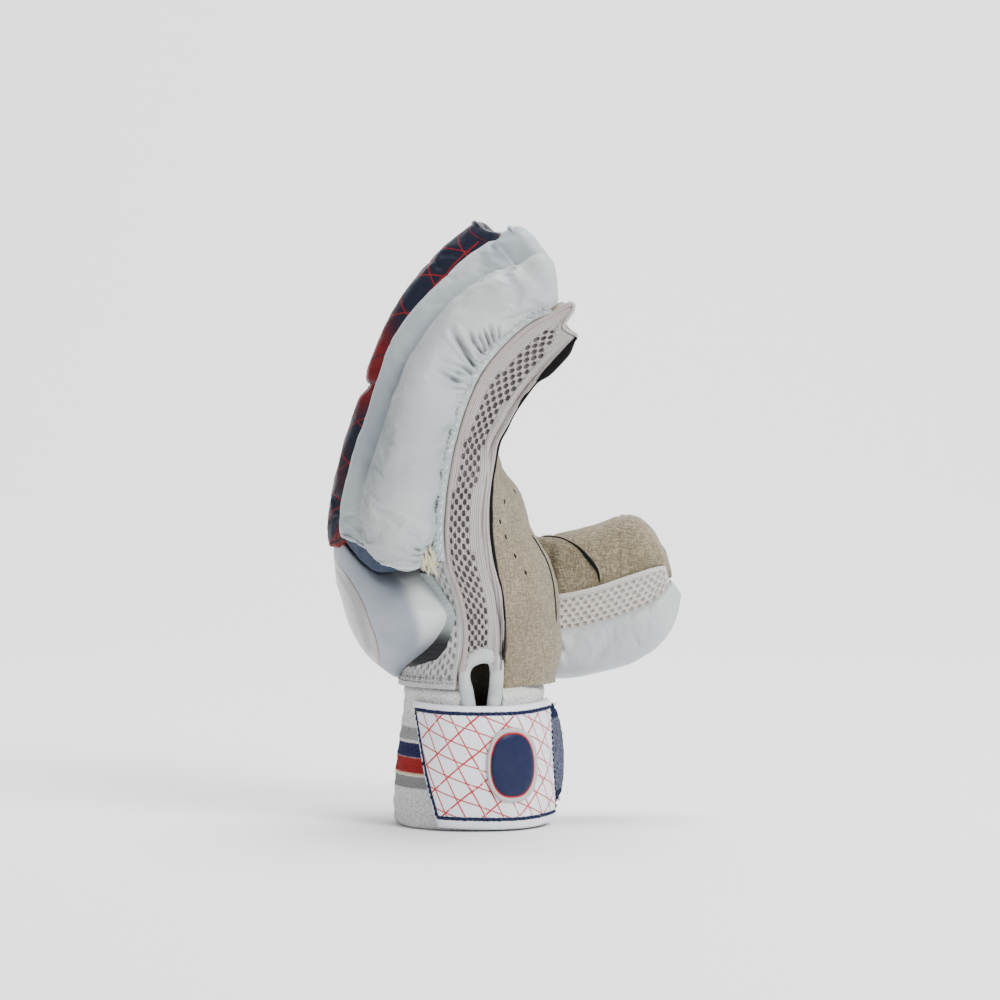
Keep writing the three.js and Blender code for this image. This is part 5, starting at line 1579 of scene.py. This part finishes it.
# the creases that fan out from the side roll's seam: picture pixels from the seam outwards, then width and depth in mm
gathers = [
    ([(467, 386), (455, 380), (436, 370)], 0.62, 1.25), ([(470, 381), (458, 373), (441, 365)], 0.5, 0.8),
    ([(472, 374), (464, 368), (452, 364), (440, 361)], 0.5, 0.6), ([(474, 366), (466, 354), (457, 339), (449, 327)], 0.65, 1.4),
    ([(476, 362), (467, 350), (460, 341)], 0.45, 0.7), ([(482, 353), (474, 342), (468, 329)], 0.55, 1.1),
    ([(484, 350), (480, 338), (478, 328)], 0.5, 0.8), ([(489, 345), (486, 335), (483, 327)], 0.5, 1.0),
    ([(494, 342), (491, 332), (489, 323)], 0.5, 0.9), ([(499, 339), (498, 330), (499, 323)], 0.45, 0.6),
    ([(468, 390), (460, 388), (450, 389)], 0.5, 0.5),
    ([(420, 551), (407, 545.5)], 0.6, 0.6), ([(420, 556), (411, 554.5)], 0.5, 0.4), ([(418, 562), (402, 565.5)], 0.6, 0.5),
]
softFolds = [  # broad shallow folds over the side roll's lower half
    ([(446, 432), (430, 437), (400, 430), (385, 424)], 2.6, 0.5), ([(441, 455), (425, 458), (400, 452)], 2.2, 0.35),
    ([(447, 415), (430, 416), (405, 409)], 2.4, 0.35), ([(437, 505), (415, 511), (392, 503)], 2.6, 0.35),
]


def makeSideRoll(side, name, node, seed):
    columns, rows = sideRollShape["columns"], sideRollShape["rows"]
    angle = np.linspace(0, 4 * quarter, columns, endpoint=False)[None, :]
    lift = panel["farLift"] if side > 0 else 0

    def ring(u, past, scaleUp, scaleOut):
        u = np.array([[float(u)]])
        low = seamHeight(u) + lift + panel["seamGap"] + sideRollShape["offSeam"]
        low = low + sideRollShape["drawnIn"] * (1 - easeBetween(u, 4.1, 5.2))
        crest = backHeight(u) - smooth(sideRoll, "crestDrop", u)
        up, out = np.sin(angle), np.cos(angle)
        flare = np.where(up < 0, 0.9, 0.75)
        reach = np.where(out > 0, smooth(sideRoll, "width", u) * np.abs(out) ** flare, 0.9 * out)
        height = (low + crest) / 2 + (crest - low) / 2 * signedPower(up, 0.85) * scaleUp
        return place(u + 0 * up, height, side * (sideRollShape["inner"] + reach * scaleOut), past(up) + 0 * up)

    pieces = []
    for scale, past in endSteps[::-1]:
        pieces.append(ring(sideRollShape["start"], lambda up: -(5.0 - 4.65 * up * up - 1.15 * up) * past, 0.55 + 0.45 * scale,
                           scale))
    pieces += [ring(u, lambda up: 0 * up, 1, 1) for u in np.linspace(sideRollShape["start"], 13, rows)]
    for scale, past in endSteps:
        pieces.append(ring(13, lambda up: (10.4 + 3.4 * up - 2.2 * up * up) * past, 0.3 + 0.7 * scale, 0.15 + 0.85 * scale))
    rings = np.concatenate(pieces)
    rowShare = np.linspace(0, 1, len(rings))[:, None]
    pins = 1 - easeBetween(np.cos(angle), -0.05, 0.25) + (np.minimum(rowShare, 1 - rowShare) < 0.02)
    rings = rings + settledCloth(rings, np.clip(pins, 0.04, 1), cap=0.0016)
    normal = gridNormals(rings, True)
    flip = np.sign(((rings - rings.mean(axis=1, keepdims=True)) * normal).sum(axis=-1).mean())
    normal *= flip
    palmSide = 3 * columns // 4
    along = np.concatenate([[0], np.cumsum(np.linalg.norm(np.diff(rings[:, palmSide], axis=0), axis=1))]) * 1000
    reach = along[:, None] + 0 * angle
    length = along[-1]
    # distance over the cover from the palm's seam and from the back's seam, in mm
    steps = np.linalg.norm(np.roll(rings, -1, axis=1) - rings, axis=2) * 1000
    outer = np.roll(steps, -palmSide, axis=1).cumsum(axis=1)
    fromPalm = np.minimum(np.roll(outer, palmSide, axis=1), outer[:, -1:] - np.roll(outer, palmSide, axis=1))
    fromBack = np.abs((angle - quarter + 2 * quarter) % (4 * quarter) - 2 * quarter) * 13.0 + 0 * reach
    outward = easeBetween(np.cos(angle), -0.1, 0.15)
    push = np.zeros_like(reach)
    nearSide = rings if side < 0 else mirrored(rings)
    creaseAndPaintedShade = np.zeros_like(reach)
    for k, (spots, width, depth) in enumerate(gathers + softFolds):
        line = seenOn(nearSide, spots, flip if side < 0 else -flip)[0]
        fold = foldAlong(nearSide, line, 1.1 * width, 1.9 * depth, 0.55)
        push += fold
        if k < len(gathers):
            # painted shade along each gather's groove, taken from the fold's depth
            creaseAndPaintedShade = np.maximum(creaseAndPaintedShade, np.clip(-fold / 1.2 - 0.1, 0, 1))
    # a little shade where it rises out of the finger roll's side, and over its lower half
    creaseAndPaintedShade = np.maximum(creaseAndPaintedShade, 0.4 * np.exp(-(fromBack / 19) ** 2) + 0.2 * (1 - easeBetween(reach, 40, 90)))
    push += creasesOver(reach, fromPalm, 30, (0.42 * length, 0.9 * length), 0.55, 0.5, 4.5, seed)
    push += creasesOver(reach, fromPalm, 12, (0.02 * length, 0.42 * length), 1.3, 0.45, 6.0, seed + 2)
    push += creasesOver(reach, fromBack, 14, (0, length), 1.4, 0.35, 6.0, seed + 3)
    ends = np.minimum(reach, length - reach)
    pucker = np.exp(-(ends / 5.0)) * easeBetween(ends, 0.3, 2.5)
    push += 0.4 * pucker * np.sin(angle * 11 + 1.5 * np.sin(angle * 3 + seed))
    # wrinkles that run in from the stitched corner at the knuckles
    corner = np.exp(-((reach - 5) / 5.0) ** 2) * np.exp(-(fromPalm / 13.0) ** 2)
    push += 0.55 * corner * np.sin(reach * 2.1 + fromPalm * 0.35)
    push += 0.8 * softNoise(rings, 22, seed) + 0.25 * softNoise(rings, 7, seed + 1)
    rings = rings + normal * (push * outward)[..., None] / 1000
    piece = addPiece(name, closedLoft(node, rings, {"creaseAndPaintedShade": creaseAndPaintedShade * outward}), whiteLeather, [node])
    addLip(name + "LipRoot", rings[5], 0.6, whiteLeather, 1.01)
    return rings


makeFingerRolls()
nearRoll = makeSideRoll(-1, "littleSideRoll", "little_side_roll", 71)
farRoll = makeSideRoll(1, "indexSideRoll", "index_side_roll", 83)
print("rolls")

# the knuckle pad and the navy band behind it

pad = {
    "u": [0.3, 0.65, 1, 1.5, 2.0, 2.3, 2.45, 2.6, 2.9, 3.4, 3.85, 4.05],
    "thickness": [1.4, 7, 12, 18, 22.4, 24.2, 25, 25.8, 27.2, 28.5, 28, 25],
    "end": [41.8, 40.2, 35.8, 28.5, 23.7, 22.2, 21.9, 22.4, 24.3, 27.8, 31, 32.4],
}
padShape = {"sideShare": 0.56, "clear": 0.7, "rows": 120, "columns": 180}
padTop = {"height": [24, 31, 35, 40, 47, 50, 54, 58.5, 61.5, 64.5, 67],  # how far its top stands up or dips, in mm
          "rise": [0.3, 0, -1.3, -3.4, -4.0, -2.6, 0.3, 5.0, 8.6, 11.4, 10.4]}
padMarks = {  # where they show in the picture, in its pixels
    "litLobe": [(394, 575), (402, 590), (410, 606), (416, 622), (419, 636)],
    "nick": [(418.2, 630), (423.8, 631.4), (430.8, 627.1), (440.7, 621.5), (447, 620.8)],
    "foilEdge": (371, 621),
    "flange": ([(420, 571), (430, 584), (437, 596), (444, 608), (447, 618)],
               [(431.5, 574), (440.7, 586.5), (447, 597), (452.6, 604.7), (454.8, 612)]),
    "underside": ([(443, 613), (444, 622), (437, 634), (426, 647.5), (415, 658.7), (406, 666)],
                  [(455.4, 612), (454, 624.3), (449.8, 637), (446.3, 648.2), (437, 659.4), (412, 667)]),
}
foil = {"y": 2.0, "z": 89.5, "halfZ": 23.5}  # mm


def heightOf(points, u):  # how high points stand over the palm edge of their station, in mm
    palmX, palmZ = smooth(stations, "palmX", u), smooth(stations, "palmZ", u)
    dx, dz = smooth(stations, "backX", u) - palmX, smooth(stations, "backZ", u) - palmZ
    x, z = points[..., 0] * 1000 - shiftX, points[..., 2] * 1000
    return ((x - palmX) * dx + (z - palmZ) * dz) / np.hypot(dx, dz)


def padPoint(u, angle, outward):  # a point off the hand's wall, raised as the pad's top is
    height = heightOf(handPoint(u, angle, outward), u)
    rise = np.interp(height, padTop["height"], padTop["rise"]) * easeBetween(u, 3.2, 4.05)
    return handPoint(u, angle, outward, rise)


def makePad():
    us = np.linspace(0.3, 4.05, padShape["rows"])
    near = np.array([angleAtHeight(u, float(smooth(pad, "end", u)), quarter, 2 * quarter) for u in us])
    far = np.array([angleAtHeight(u, float(smooth(pad, "end", u)), quarter, 0) for u in us])
    share = np.linspace(-1, 1, padShape["columns"])[None, :]
    angle = (near + far)[:, None] / 2 + (far - near)[:, None] / 2 * share
    u = us[:, None] + 0 * share
    end = np.abs(share)
    swell = (1 - (1 - padShape["sideShare"]) * end ** 2) * (1 - 0.4 * end ** 20)
    row = np.linspace(0, 1, padShape["rows"])[:, None]
    topRound = 1 - 0.3 * easeBetween(row, 0.95, 1.0) ** 2
    thickness = padShape["clear"] + 0.8 + smooth(pad, "thickness", u) * swell * topRound
    outer = padPoint(u, angle, thickness)
    facing = -1.0 if gridNormals(outer, False)[60, 90][0] > 0 else 1.0
    nearSide = np.where(outer[..., 1:2] * 1000 > shiftY, mirrored(outer), outer)
    lump = 0.5 * softNoise(outer, 26, 90) + 0.2 * softNoise(outer, 8, 91)
    lump += 1.6 * foldAlong(nearSide, seenOn(outer, padMarks["litLobe"], facing)[0], 2.6, 0.3, 0.3)
    lump += foldAlong(nearSide, seenOn(outer, padMarks["nick"], facing)[0], 0.5, 0.9, 0.5)
    halfY = abs(seenOn(outer, [padMarks["foilEdge"]], facing)[0][0][1] * 1000 - shiftY - foil["y"])
    # the end of the pad, its lobe, is painted paler as a highlight, fading out towards the bottom
    seen = inPicture(nearSide)
    border = np.array(padMarks["litLobe"])
    beyond = seen[..., 0] - np.interp(seen[..., 1], border[:, 1], border[:, 0])
    litLobe = easeBetween(beyond, -6, 9) * (1 - 0.7 * easeBetween(seen[..., 1], 632, 662))
    outer = padPoint(u, angle, thickness + lump)
    inner = padPoint(u, angle, padShape["clear"] + 0 * u)
    mesh = shellMesh("knuckle_pad", outer, inner, attributes={"litLobe": litLobe})
    piece = addPiece("knucklePad", mesh, padMaterial(halfY), ["knuckle_pad"])
    addModifier(piece, "BEVEL", width=0.0014, segments=3, limit_method="ANGLE", angle_limit=math.radians(40))
    # the pad's flange, pale leather with painted shade towards its lower end, then a near-black painted shadow where
    # the pad's lower edge stands off the back panel
    backPatch("padFlange", *padMarks["flange"], (1.9, 0.7), [0, 0, 0, 0.1, 0.35])
    backPatch("padPaintedShadow", *padMarks["underside"], (1.5, 0.45), [0.3, 0.4, 0.75, 1, 1, 0.8])


def backPatch(name, one, other, lifts, shade):  # a strip on the back panel between two lines in the picture
    knots, k = np.arange(len(one)), np.linspace(0, len(one) - 1, 60)
    share = np.linspace(0, 1, 9)
    lines = [np.stack([np.interp(k, knots, [p[i] for p in line]) for i in (0, 1)], axis=-1) for line in (one, other)]
    spots = lines[0][:, None] + (lines[1] - lines[0])[:, None] * share[None, :, None]
    s, t = sharesSeen(backGrid, spots.reshape(-1, 2), backFacing)
    total = gridLengths(backGrid)[1].mean()
    at = surfaceSampler(backGrid)
    lift = (lifts[0] + (lifts[1] - lifts[0]) * share)[None, :, None]
    dark = np.interp(k, knots, shade)[:, None] + 0 * share
    for label, across in (("Near", t), ("Far", 1 - t + panel["farLift"] / total)):
        point, out = (a.reshape(60, 9, 3) for a in at(s, across))
        ruffle = 0.15 * np.sin(k * 14)[:, None, None] * share[None, :, None]
        front, back = point + out * backFacing * (lift + ruffle) / 1000, point + out * backFacing * (lift - 0.8) / 1000
        mesh = shellMesh(name, front, back, attributes={"shade": dark})
        addPiece(name + label, mesh, paleLeatherAndPaintedShadow, ())


def padMaterial(halfY):  # leather with a plain oval of silver foil over its middle
    m = Nodes("padLeatherFoil", **{"Specular IOR Level": 0.42})
    _, y, z = m.split(m.coordinates)
    dy = m.math("DIVIDE", m.math("SUBTRACT", y, (foil["y"] + shiftY) / 1000), halfY / 1000)
    dz = m.math("DIVIDE", m.math("SUBTRACT", z, foil["z"] / 1000), foil["halfZ"] / 1000)
    radius = m.math("SQRT", m.math("ADD", m.math("MULTIPLY", dy, dy), m.math("MULTIPLY", dz, dz)))
    oval = m.ramp(radius, 0.985, 1.0, 1, 0)
    rim = m.math("MULTIPLY", m.ramp(radius, 0.955, 0.97), oval)
    inset = m.math("MULTIPLY", m.ramp(radius, 0.72, 0.75), m.ramp(radius, 0.84, 0.87, 1, 0))
    litLobe = m.attribute("litLobe").outputs["Fac"]
    # painted shade and highlight: the broad face is a darker grey-blue as if in shade, and the end lobe a paler grey as
    # if lit
    face = m.mix(m.ramp(m.noise(28, 3), 0.35, 0.68), (0.23, 0.26, 0.31, 1), (0.29, 0.32, 0.365, 1))
    litAndShadedLeather = m.mix(litLobe, face, (0.53, 0.55, 0.55, 1))
    silver = m.mix(m.ramp(m.noise(30, 2, stretch=(1, 1, 0.3)), 0.4, 0.6), (0.22, 0.21, 0.21, 1), (0.35, 0.34, 0.34, 1))
    silver = m.mix(m.math("MULTIPLY", inset, 0.8), silver, (0.2, 0.18, 0.175, 1))
    silver = m.mix(rim, silver, (0.13, 0.1, 0.09, 1))
    colour = m.mix(oval, litAndShadedLeather, silver)
    roughLeather = m.ramp(m.noise(400, 2), 0.3, 0.7, 0.42, 0.58)
    rough = m.math("ADD", m.math("MULTIPLY", roughLeather, m.math("SUBTRACT", 1.0, oval)), m.math("MULTIPLY", oval, 0.3))
    first = m.bump(m.cells(1150), 0.00018, 0.3)
    second = m.bump(m.noise(60, 3, 0.55), 0.0012, 0.3, first)
    third = m.bump(oval, 0.0002, 0.6, second)
    return m.finish(colour, rough, third)


def paleLeatherAndShadowMaterial():  # pale leather that turns to near-black painted shadow under the pad
    m = Nodes("paleLeatherAndPaintedShadow", 0.75, **{"Specular IOR Level": 0.25})
    shade = m.attribute("shade").outputs["Fac"]
    threads = m.noise(900, 3, 0.65)
    pale = m.mix(threads, (0.36, 0.42, 0.42, 1), (0.5, 0.55, 0.54, 1))
    tone = m.mix(m.ramp(shade, 0.1, 0.95), pale, (0.012, 0.012, 0.014, 1))
    return m.finish(tone, None, m.bump(threads, 0.0003, 0.5))


paleLeatherAndPaintedShadow = paleLeatherAndShadowMaterial()
bandShape = {"levels": (4.04, 4.98), "back": 26.0, "side": 8.0}


def makeBand():
    levels = np.linspace(*bandShape["levels"], 14)
    share = np.linspace(-1, 1, 140)[None, :]
    near = np.array([angleAtHeight(u, 26, quarter, 2 * quarter) for u in levels])
    far = np.array([angleAtHeight(u, 30, quarter, 0) for u in levels])
    angle = (near + far)[:, None] / 2 + (far - near)[:, None] / 2 * share
    u = levels[:, None] + 0 * share
    out = bandShape["side"] + (bandShape["back"] - bandShape["side"]) * (1 - share ** 2)
    bulge = np.sin(np.pi * np.linspace(0, 1, 14))[:, None] * 0.8
    outer = padPoint(u, angle, out + bulge + 0.4 * np.sin(share * 40))
    inner = padPoint(u, angle, 0.7 + 0 * u)
    addPiece("knuckleBand", shellMesh("knuckle_band", outer, inner), navyCloth, ["knuckle_band"])


makePad()
makeBand()
print("knuckle pad and band")

# thumb

thumb = {
    "v": [0, 1, 2, 3, 4, 5, 6, 6.6],
    "topX": [3.9, 21.2, 35.4, 48.6, 59.8, 67.9, 74.5, 78],
    "topZ": [116.9, 120.1, 121.7, 125, 129.1, 128.6, 123, 116.4],
    "lowX": [6, 21.2, 34.4, 48.6, 62.8, 74.5, 81.7, 84.9],
    "lowZ": [61, 59.8, 59.4, 61.7, 65.9, 72.7, 80.8, 87.9],
    "y": [25, 25, 25, 25, 24.5, 24, 23.5, 23],
    "half": [17, 17.5, 18, 18.5, 18, 16.5, 13, 9.5],
    "mesh": [0.41, 0.41, 0.41, 0.41, 0.41, 0.4, 0.36, 0.3],
    "pad": [0.62, 0.62, 0.61, 0.61, 0.61, 0.61, 0.56, 0.5],
}
thumbShape = {"wall": 1.8, "start": 1.0, "rollExtra": 3.2, "rollStart": 1.45, "clear": 0.7}


def thumbPlace(v, share, y):
    topX, topZ = smooth(thumb, "topX", v), smooth(thumb, "topZ", v)
    lowX, lowZ = smooth(thumb, "lowX", v), smooth(thumb, "lowZ", v)
    return toRow(topX + (lowX - topX) * share, y, topZ + (lowZ - topZ) * share)


def thumbHalf(v):  # its root narrows where it goes into the palm
    return smooth(thumb, "half", v) * (0.5 + 0.5 * easeBetween(v, 1.0, 1.95))


def thumbHeight(v):
    return np.hypot(smooth(thumb, "topX", v) - smooth(thumb, "lowX", v), smooth(thumb, "topZ", v) - smooth(thumb, "lowZ", v))


def thumbRings(vs, wall, columns=80):
    angle = np.linspace(0, 4 * quarter, columns, endpoint=False)[None, :]
    v = np.asarray(vs, float)[:, None]
    padShare = smooth(thumb, "pad", v) - 0.012
    up = (padShare / 2 - wall / thumbHeight(v)) * signedPower(np.sin(angle), 0.75)
    y = smooth(thumb, "y", v) + (thumbHalf(v) - wall) * signedPower(np.cos(angle), 0.75)
    return thumbPlace(v + 0 * angle, padShare / 2 - up, y)


def drawnTip(ring, forward, steps):
    centre = ring.mean(axis=0)
    forward = np.array(forward) / 1000
    return np.array([centre + (ring - centre) * scale + forward * past for past, scale in steps])


roundTip = [(0.3, 0.97), (0.55, 0.9), (0.75, 0.78), (0.9, 0.6), (0.97, 0.4), (1.0, 0.18)]
conicTip = [(0.16, 0.92), (0.31, 0.83), (0.45, 0.73), (0.58, 0.62), (0.7, 0.5), (0.81, 0.38), (0.91, 0.25), (0.98, 0.12)]


def outwardNormals(rings):
    normal = gridNormals(rings, True)
    centre = rings.mean(axis=1, keepdims=True)
    return normal * np.sign(((rings - centre) * normal).sum(axis=-1).mean())


thumbSeam = {  # where it shows in the picture, in its pixels
    "px": [541, 553, 563, 577.4, 588.5, 597, 600], "py": [536.4, 536.8, 538.8, 546.6, 558.6, 570, 583],
}
thumbPleat = [(559.5, 641), (562.5, 650), (569.5, 656)]


def makeThumb():
    vs = np.linspace(thumbShape["start"], 6.6, 110)
    outer = thumbRings(vs, 0.0)
    outer = np.concatenate([outer, drawnTip(outer[-1], (1.6, 0, -0.4), roundTip)])
    inner = thumbRings(vs, thumbShape["wall"])
    inner = np.concatenate([inner, drawnTip(inner[-1], (0.4, 0, -0.2), roundTip)])
    rows, columns = outer.shape[:2]
    angle = np.linspace(0, 4 * quarter, columns, endpoint=False)[None, :]
    normal = outwardNormals(outer)
    along = np.linspace(0, 1, rows)[:, None]
    push = 0.5 * softNoise(outer, 14, 101) + 0.3 * softNoise(outer, 5, 102)
    for where, depth in ((0.05, 0.8), (0.12, 0.5), (0.5, 0.5), (0.56, 0.4)):
        push = push - depth * np.exp(-((along - where - 0.02 * np.cos(angle)) / 0.016) ** 2)
    push = push * easeBetween(along, 0, 0.02)
    outer = outer + normal * push[..., None] / 1000
    rings = np.concatenate([inner[::-1], outer])
    addPiece("thumbSuede", closedLoft("thumb", rings), palmSuede, ["thumb"])
    # the dark seam that crosses from the palm to the thumb's side
    table = {"t": [0, 1, 2, 3, 4, 5, 6], "px": thumbSeam["px"], "py": thumbSeam["py"]}
    t = np.linspace(0, 6, 90)
    spots = np.stack([smooth(table, "px", t), smooth(table, "py", t)], axis=-1)
    facing = np.sign(((outer - outer.mean(axis=1, keepdims=True)) * gridNormals(outer, False)).sum(axis=-1).mean())
    line, outs = seenOn(outer, spots, facing)
    for _ in range(6):
        line[1:-1] = (line[:-2] + 2 * line[1:-1] + line[2:]) / 4
    line = line + outs * 0.0001
    radii = (0.3 + 0.6 * np.exp(-((t - 4.2) / 1.1) ** 2)) * np.minimum(1, np.minimum(np.arange(90), np.arange(90)[::-1]) / 8 + 0.3)
    radii = radii / 1000
    addPiece("thumbSeam", closedLoft("thumbSeam", tubePoints(line, radii, 8)), blackCloth, ())


def makeThumbRoll():
    columns = 84
    angle = np.linspace(0, 4 * quarter, columns, endpoint=False)[None, :]
    vs = np.linspace(thumbShape["rollStart"], 6.6, 120)[:, None]
    base = smooth(thumb, "pad", vs) + thumbShape["clear"] / thumbHeight(vs)
    waist = base + (1 - base) * 0.34
    down = -np.sin(angle)
    reach = np.where(down > 0, (1 - waist) * np.abs(down) ** 0.85, (base - waist) * np.abs(down) ** 0.5)
    half = thumbHalf(vs) + thumbShape["rollExtra"]
    y = smooth(thumb, "y", vs) + half * signedPower(np.cos(angle), 0.75)
    outer = thumbPlace(vs + 0 * angle, waist + reach, y)
    outer = np.concatenate([outer, drawnTip(outer[-1], (2.6, 0, 0.4), conicTip)])
    normal = outwardNormals(outer)
    along = np.concatenate([[0], np.cumsum(np.linalg.norm(np.diff(outer.mean(axis=1), axis=0), axis=1))]) * 1000
    reachMm = along[:, None] + 0 * angle
    raw = np.abs((angle - quarter + 2 * quarter) % (4 * quarter) - 2 * quarter) * 15.0 - 17
    fromSeam = np.maximum(raw, 0) + 0 * reachMm
    push = creasesOver(reachMm, fromSeam, 16, (4, along[-1]), 1.2, 0.3, 5.0, 111)
    # a pleat where the roll tucks in beside the palm
    facing = np.sign(((outer - outer.mean(axis=1, keepdims=True)) * gridNormals(outer, False)).sum(axis=-1).mean())
    push += foldAlong(outer, seenOn(outer, thumbPleat, facing)[0], 0.8, 1.4, 0.6)
    push += 0.7 * softNoise(outer, 20, 112) + 0.25 * softNoise(outer, 6, 113)
    push = push * easeBetween(raw, -3, 2)
    pins = 1 - easeBetween(raw, -2, 8) + 0 * reachMm
    outer = outer + settledCloth(outer, np.clip(pins, 0.04, 1), cap=0.0012)
    outer = outer + normal * push[..., None] / 1000
    piece = addPiece("thumbRoll", closedLoft("thumb_roll", outer), whiteLeather, ["thumb_roll"])


def makeThumbMesh(side, name, node):
    vs = np.linspace(1.25, 6.55, 90)[:, None]
    share = np.linspace(0, 1, 21)[None, :]
    high = smooth(thumb, "mesh", vs)
    low = smooth(thumb, "pad", vs) + 0.045
    at = high + (low - high) * share
    padShare = smooth(thumb, "pad", vs) - 0.012
    s = np.clip((padShare / 2 - at) / (padShare / 2), -0.6, 0.985)
    around = (1 - np.abs(s) ** (2 / 0.75)) ** (0.75 / 2)
    y = smooth(thumb, "y", vs) + side * ((thumbHalf(vs) + 0.8) * around + 1.0)
    grid = evenGrid(thumbPlace(vs + 0 * share, at, y), 90)
    normal = gridNormals(grid, False)
    facing = 1.0 if (normal[40, 10][1] > 0) == (side > 0) else -1.0
    hole = np.array((1.15, 0.85))
    mesh = lacySheet(node, grid, facing, 2.2, 3.4, hole, lambda a, t: 0.12 < t, 0.3, 0.6, 0.1, None, True)
    addPiece(name, mesh, [thumbKnit, thumbFloor], [node])
    backing = shellMesh(name + "Backing", grid - normal * facing * 0.0009, grid - normal * facing * 0.0013)
    addPiece(name + "Backing", backing, thumbKnit, ())


makeThumb()
makeThumbRoll()
makeThumbMesh(-1, "thumbMeshNear", "thumb_mesh_near")
makeThumbMesh(1, "thumbMeshFar", "thumb_mesh_far")
print("thumb")

# piping, seams and threads


def gridLine(grid, normal, column, out, first=0, last=None):
    return (grid[:, column] + normal[:, column] * out / 1000)[first:last]


flange = {"breadth": 2.9, "tooth": 0.7, "teethPerStation": 8.5, "y": 54.2, "rise": 3.4}  # mm
pipingFrom = 70.5  # mm


def makeTrim(side, grid, normal, label):
    rows = grid.shape[0]
    share = np.linspace(0, 1, rows)
    # black piping along the palm edge; it also stands for the shadowed gap there, so it is partly painted shadow
    line = gridLine(grid, normal, -1, 0.1)
    outwards = grid[:, -1] - grid[:, -3]
    outwards /= np.linalg.norm(outwards, axis=1, keepdims=True)
    crescent = np.exp(-((share - 0.9) / 0.07) ** 4)
    line = line + softNoise(line, 9, 120)[:, None] * 0.0003 + outwards * crescent[:, None] * 0.0011
    radii = 0.58 + 0.55 * np.exp(-((share - 0.33) / 0.15) ** 2) + 1.3 * crescent + 0.2 * softNoise(line, 6, 121)
    keep = line[:, 2] * 1000 > pipingFrom * (side < 0)
    radii = (radii * np.clip((line[:, 2] * 1000 - pipingFrom) / 5 + 0.25, 0.25, 1))[keep]
    tube = tubePoints(line[keep], radii / 1000, 10)
    addPiece("edgePipingAndShadow" + label, closedLoft("edgePipingAndShadow", tube), blackCloth, ())
    # tape along the back seam
    line = gridLine(grid, normal, 0, 0.5)
    toward = (grid[:, 1] - grid[:, 0])
    toward /= np.linalg.norm(toward, axis=1, keepdims=True)
    line = line + toward * 0.0009
    addPiece("seamTape" + label, closedLoft("seamTape", tubePoints(line, 0.00105, 12, 0.7, normal[:, 0])), seamTape, ())
    # the side roll's seam allowance, with its uneven cut edge
    us = np.linspace(4.15, 12.9, 700)
    lift = panel["farLift"] if side > 0 else 0
    seam = seamHeight(us) + lift
    teeth = np.abs((us * flange["teethPerStation"]) % 1 - 0.5) * 2
    width = flange["breadth"] + flange["tooth"] * teeth + 0.3 * np.sin(us * 9)
    width = width + sideRollShape["drawnIn"] * (1 - easeBetween(us, 4.1, 5.2))
    across = np.linspace(0, 1, 7)[None, :]
    height = seam[:, None] + 0.1 + width[:, None] * across
    y = side * (flange["y"] + flange["rise"] * across ** 1.4 + 0.22 * np.sin(us[:, None] * 15 + 3 * across))
    outer = place(us[:, None] + 0 * across, height, y)
    inner = place(us[:, None] + 0 * across, height, y - side * 0.8)
    addPiece("rollFlange" + label, shellMesh("rollFlange", outer, inner), flangeLeather, ())
    stitches = place(us, seam + 1.8, side * (flange["y"] + 0.75))
    mesh = stitchMesh("flangeStitches", stitches, (0, side, 0), 0.0036, 0.0022, 0.00036, 0.0002, 0.5)
    addPiece("flangeStitches" + label, mesh, whiteThread, ())
    # grey marks along the cut edge: painted shadow cast by its serrated teeth
    edge = place(us, seam + 0.1 + flange["breadth"] + 0.1, side * (flange["y"] + flange["rise"] + 0.35))
    mesh = stitchMesh("teethShadowMarks", edge, (0, side, 0), 0.0024, 0.0011, 0.0004, 0.0003, 0.4)
    addPiece("teethShadowMarks" + label, mesh, greyThread, ())


makeTrim(-1, nearGrid, nearNormal, "Little")
makeTrim(1, farGrid, farNormal, "Index")


def makeBarTack():  # a knot of cream thread that ties the side roll, the pad and the mesh together
    points, faces = [], []
    for k in range(56):
        t = rng.random()
        start = place(np.array(4.2 + 0.1 * rng.normal()), 23.5 + 5.0 * t, -58.5 - 2.0 * rng.random())
        away = np.array([rng.normal(-0.2, 0.34), -0.25 * rng.random(), 1.0]) * rng.uniform(0.004, 0.0075)
        s = np.linspace(-0.55, 0.55, 9)[:, None]
        bow = (1 - (2 * s) ** 2) * np.array([[0, -0.0011, 0]])
        line = start + away * s + bow
        tube = tubePoints(line, 0.00042, 6, up=(1, 0, 0.2))
        base = sum(len(q) for q in points)
        points.append(tube.reshape(-1, 3))
        faces += [tuple(q) for q in gridQuads(9, 6, wrapColumns=True, start=base)]
        faces.append(tuple(base + k for k in range(6))[::-1])
        faces.append(tuple(base + 48 + k for k in range(6)))
    addPiece("barTack", makeMesh("barTack", np.concatenate(points), faces), creamThread, ())


makeBarTack()
print("trim")
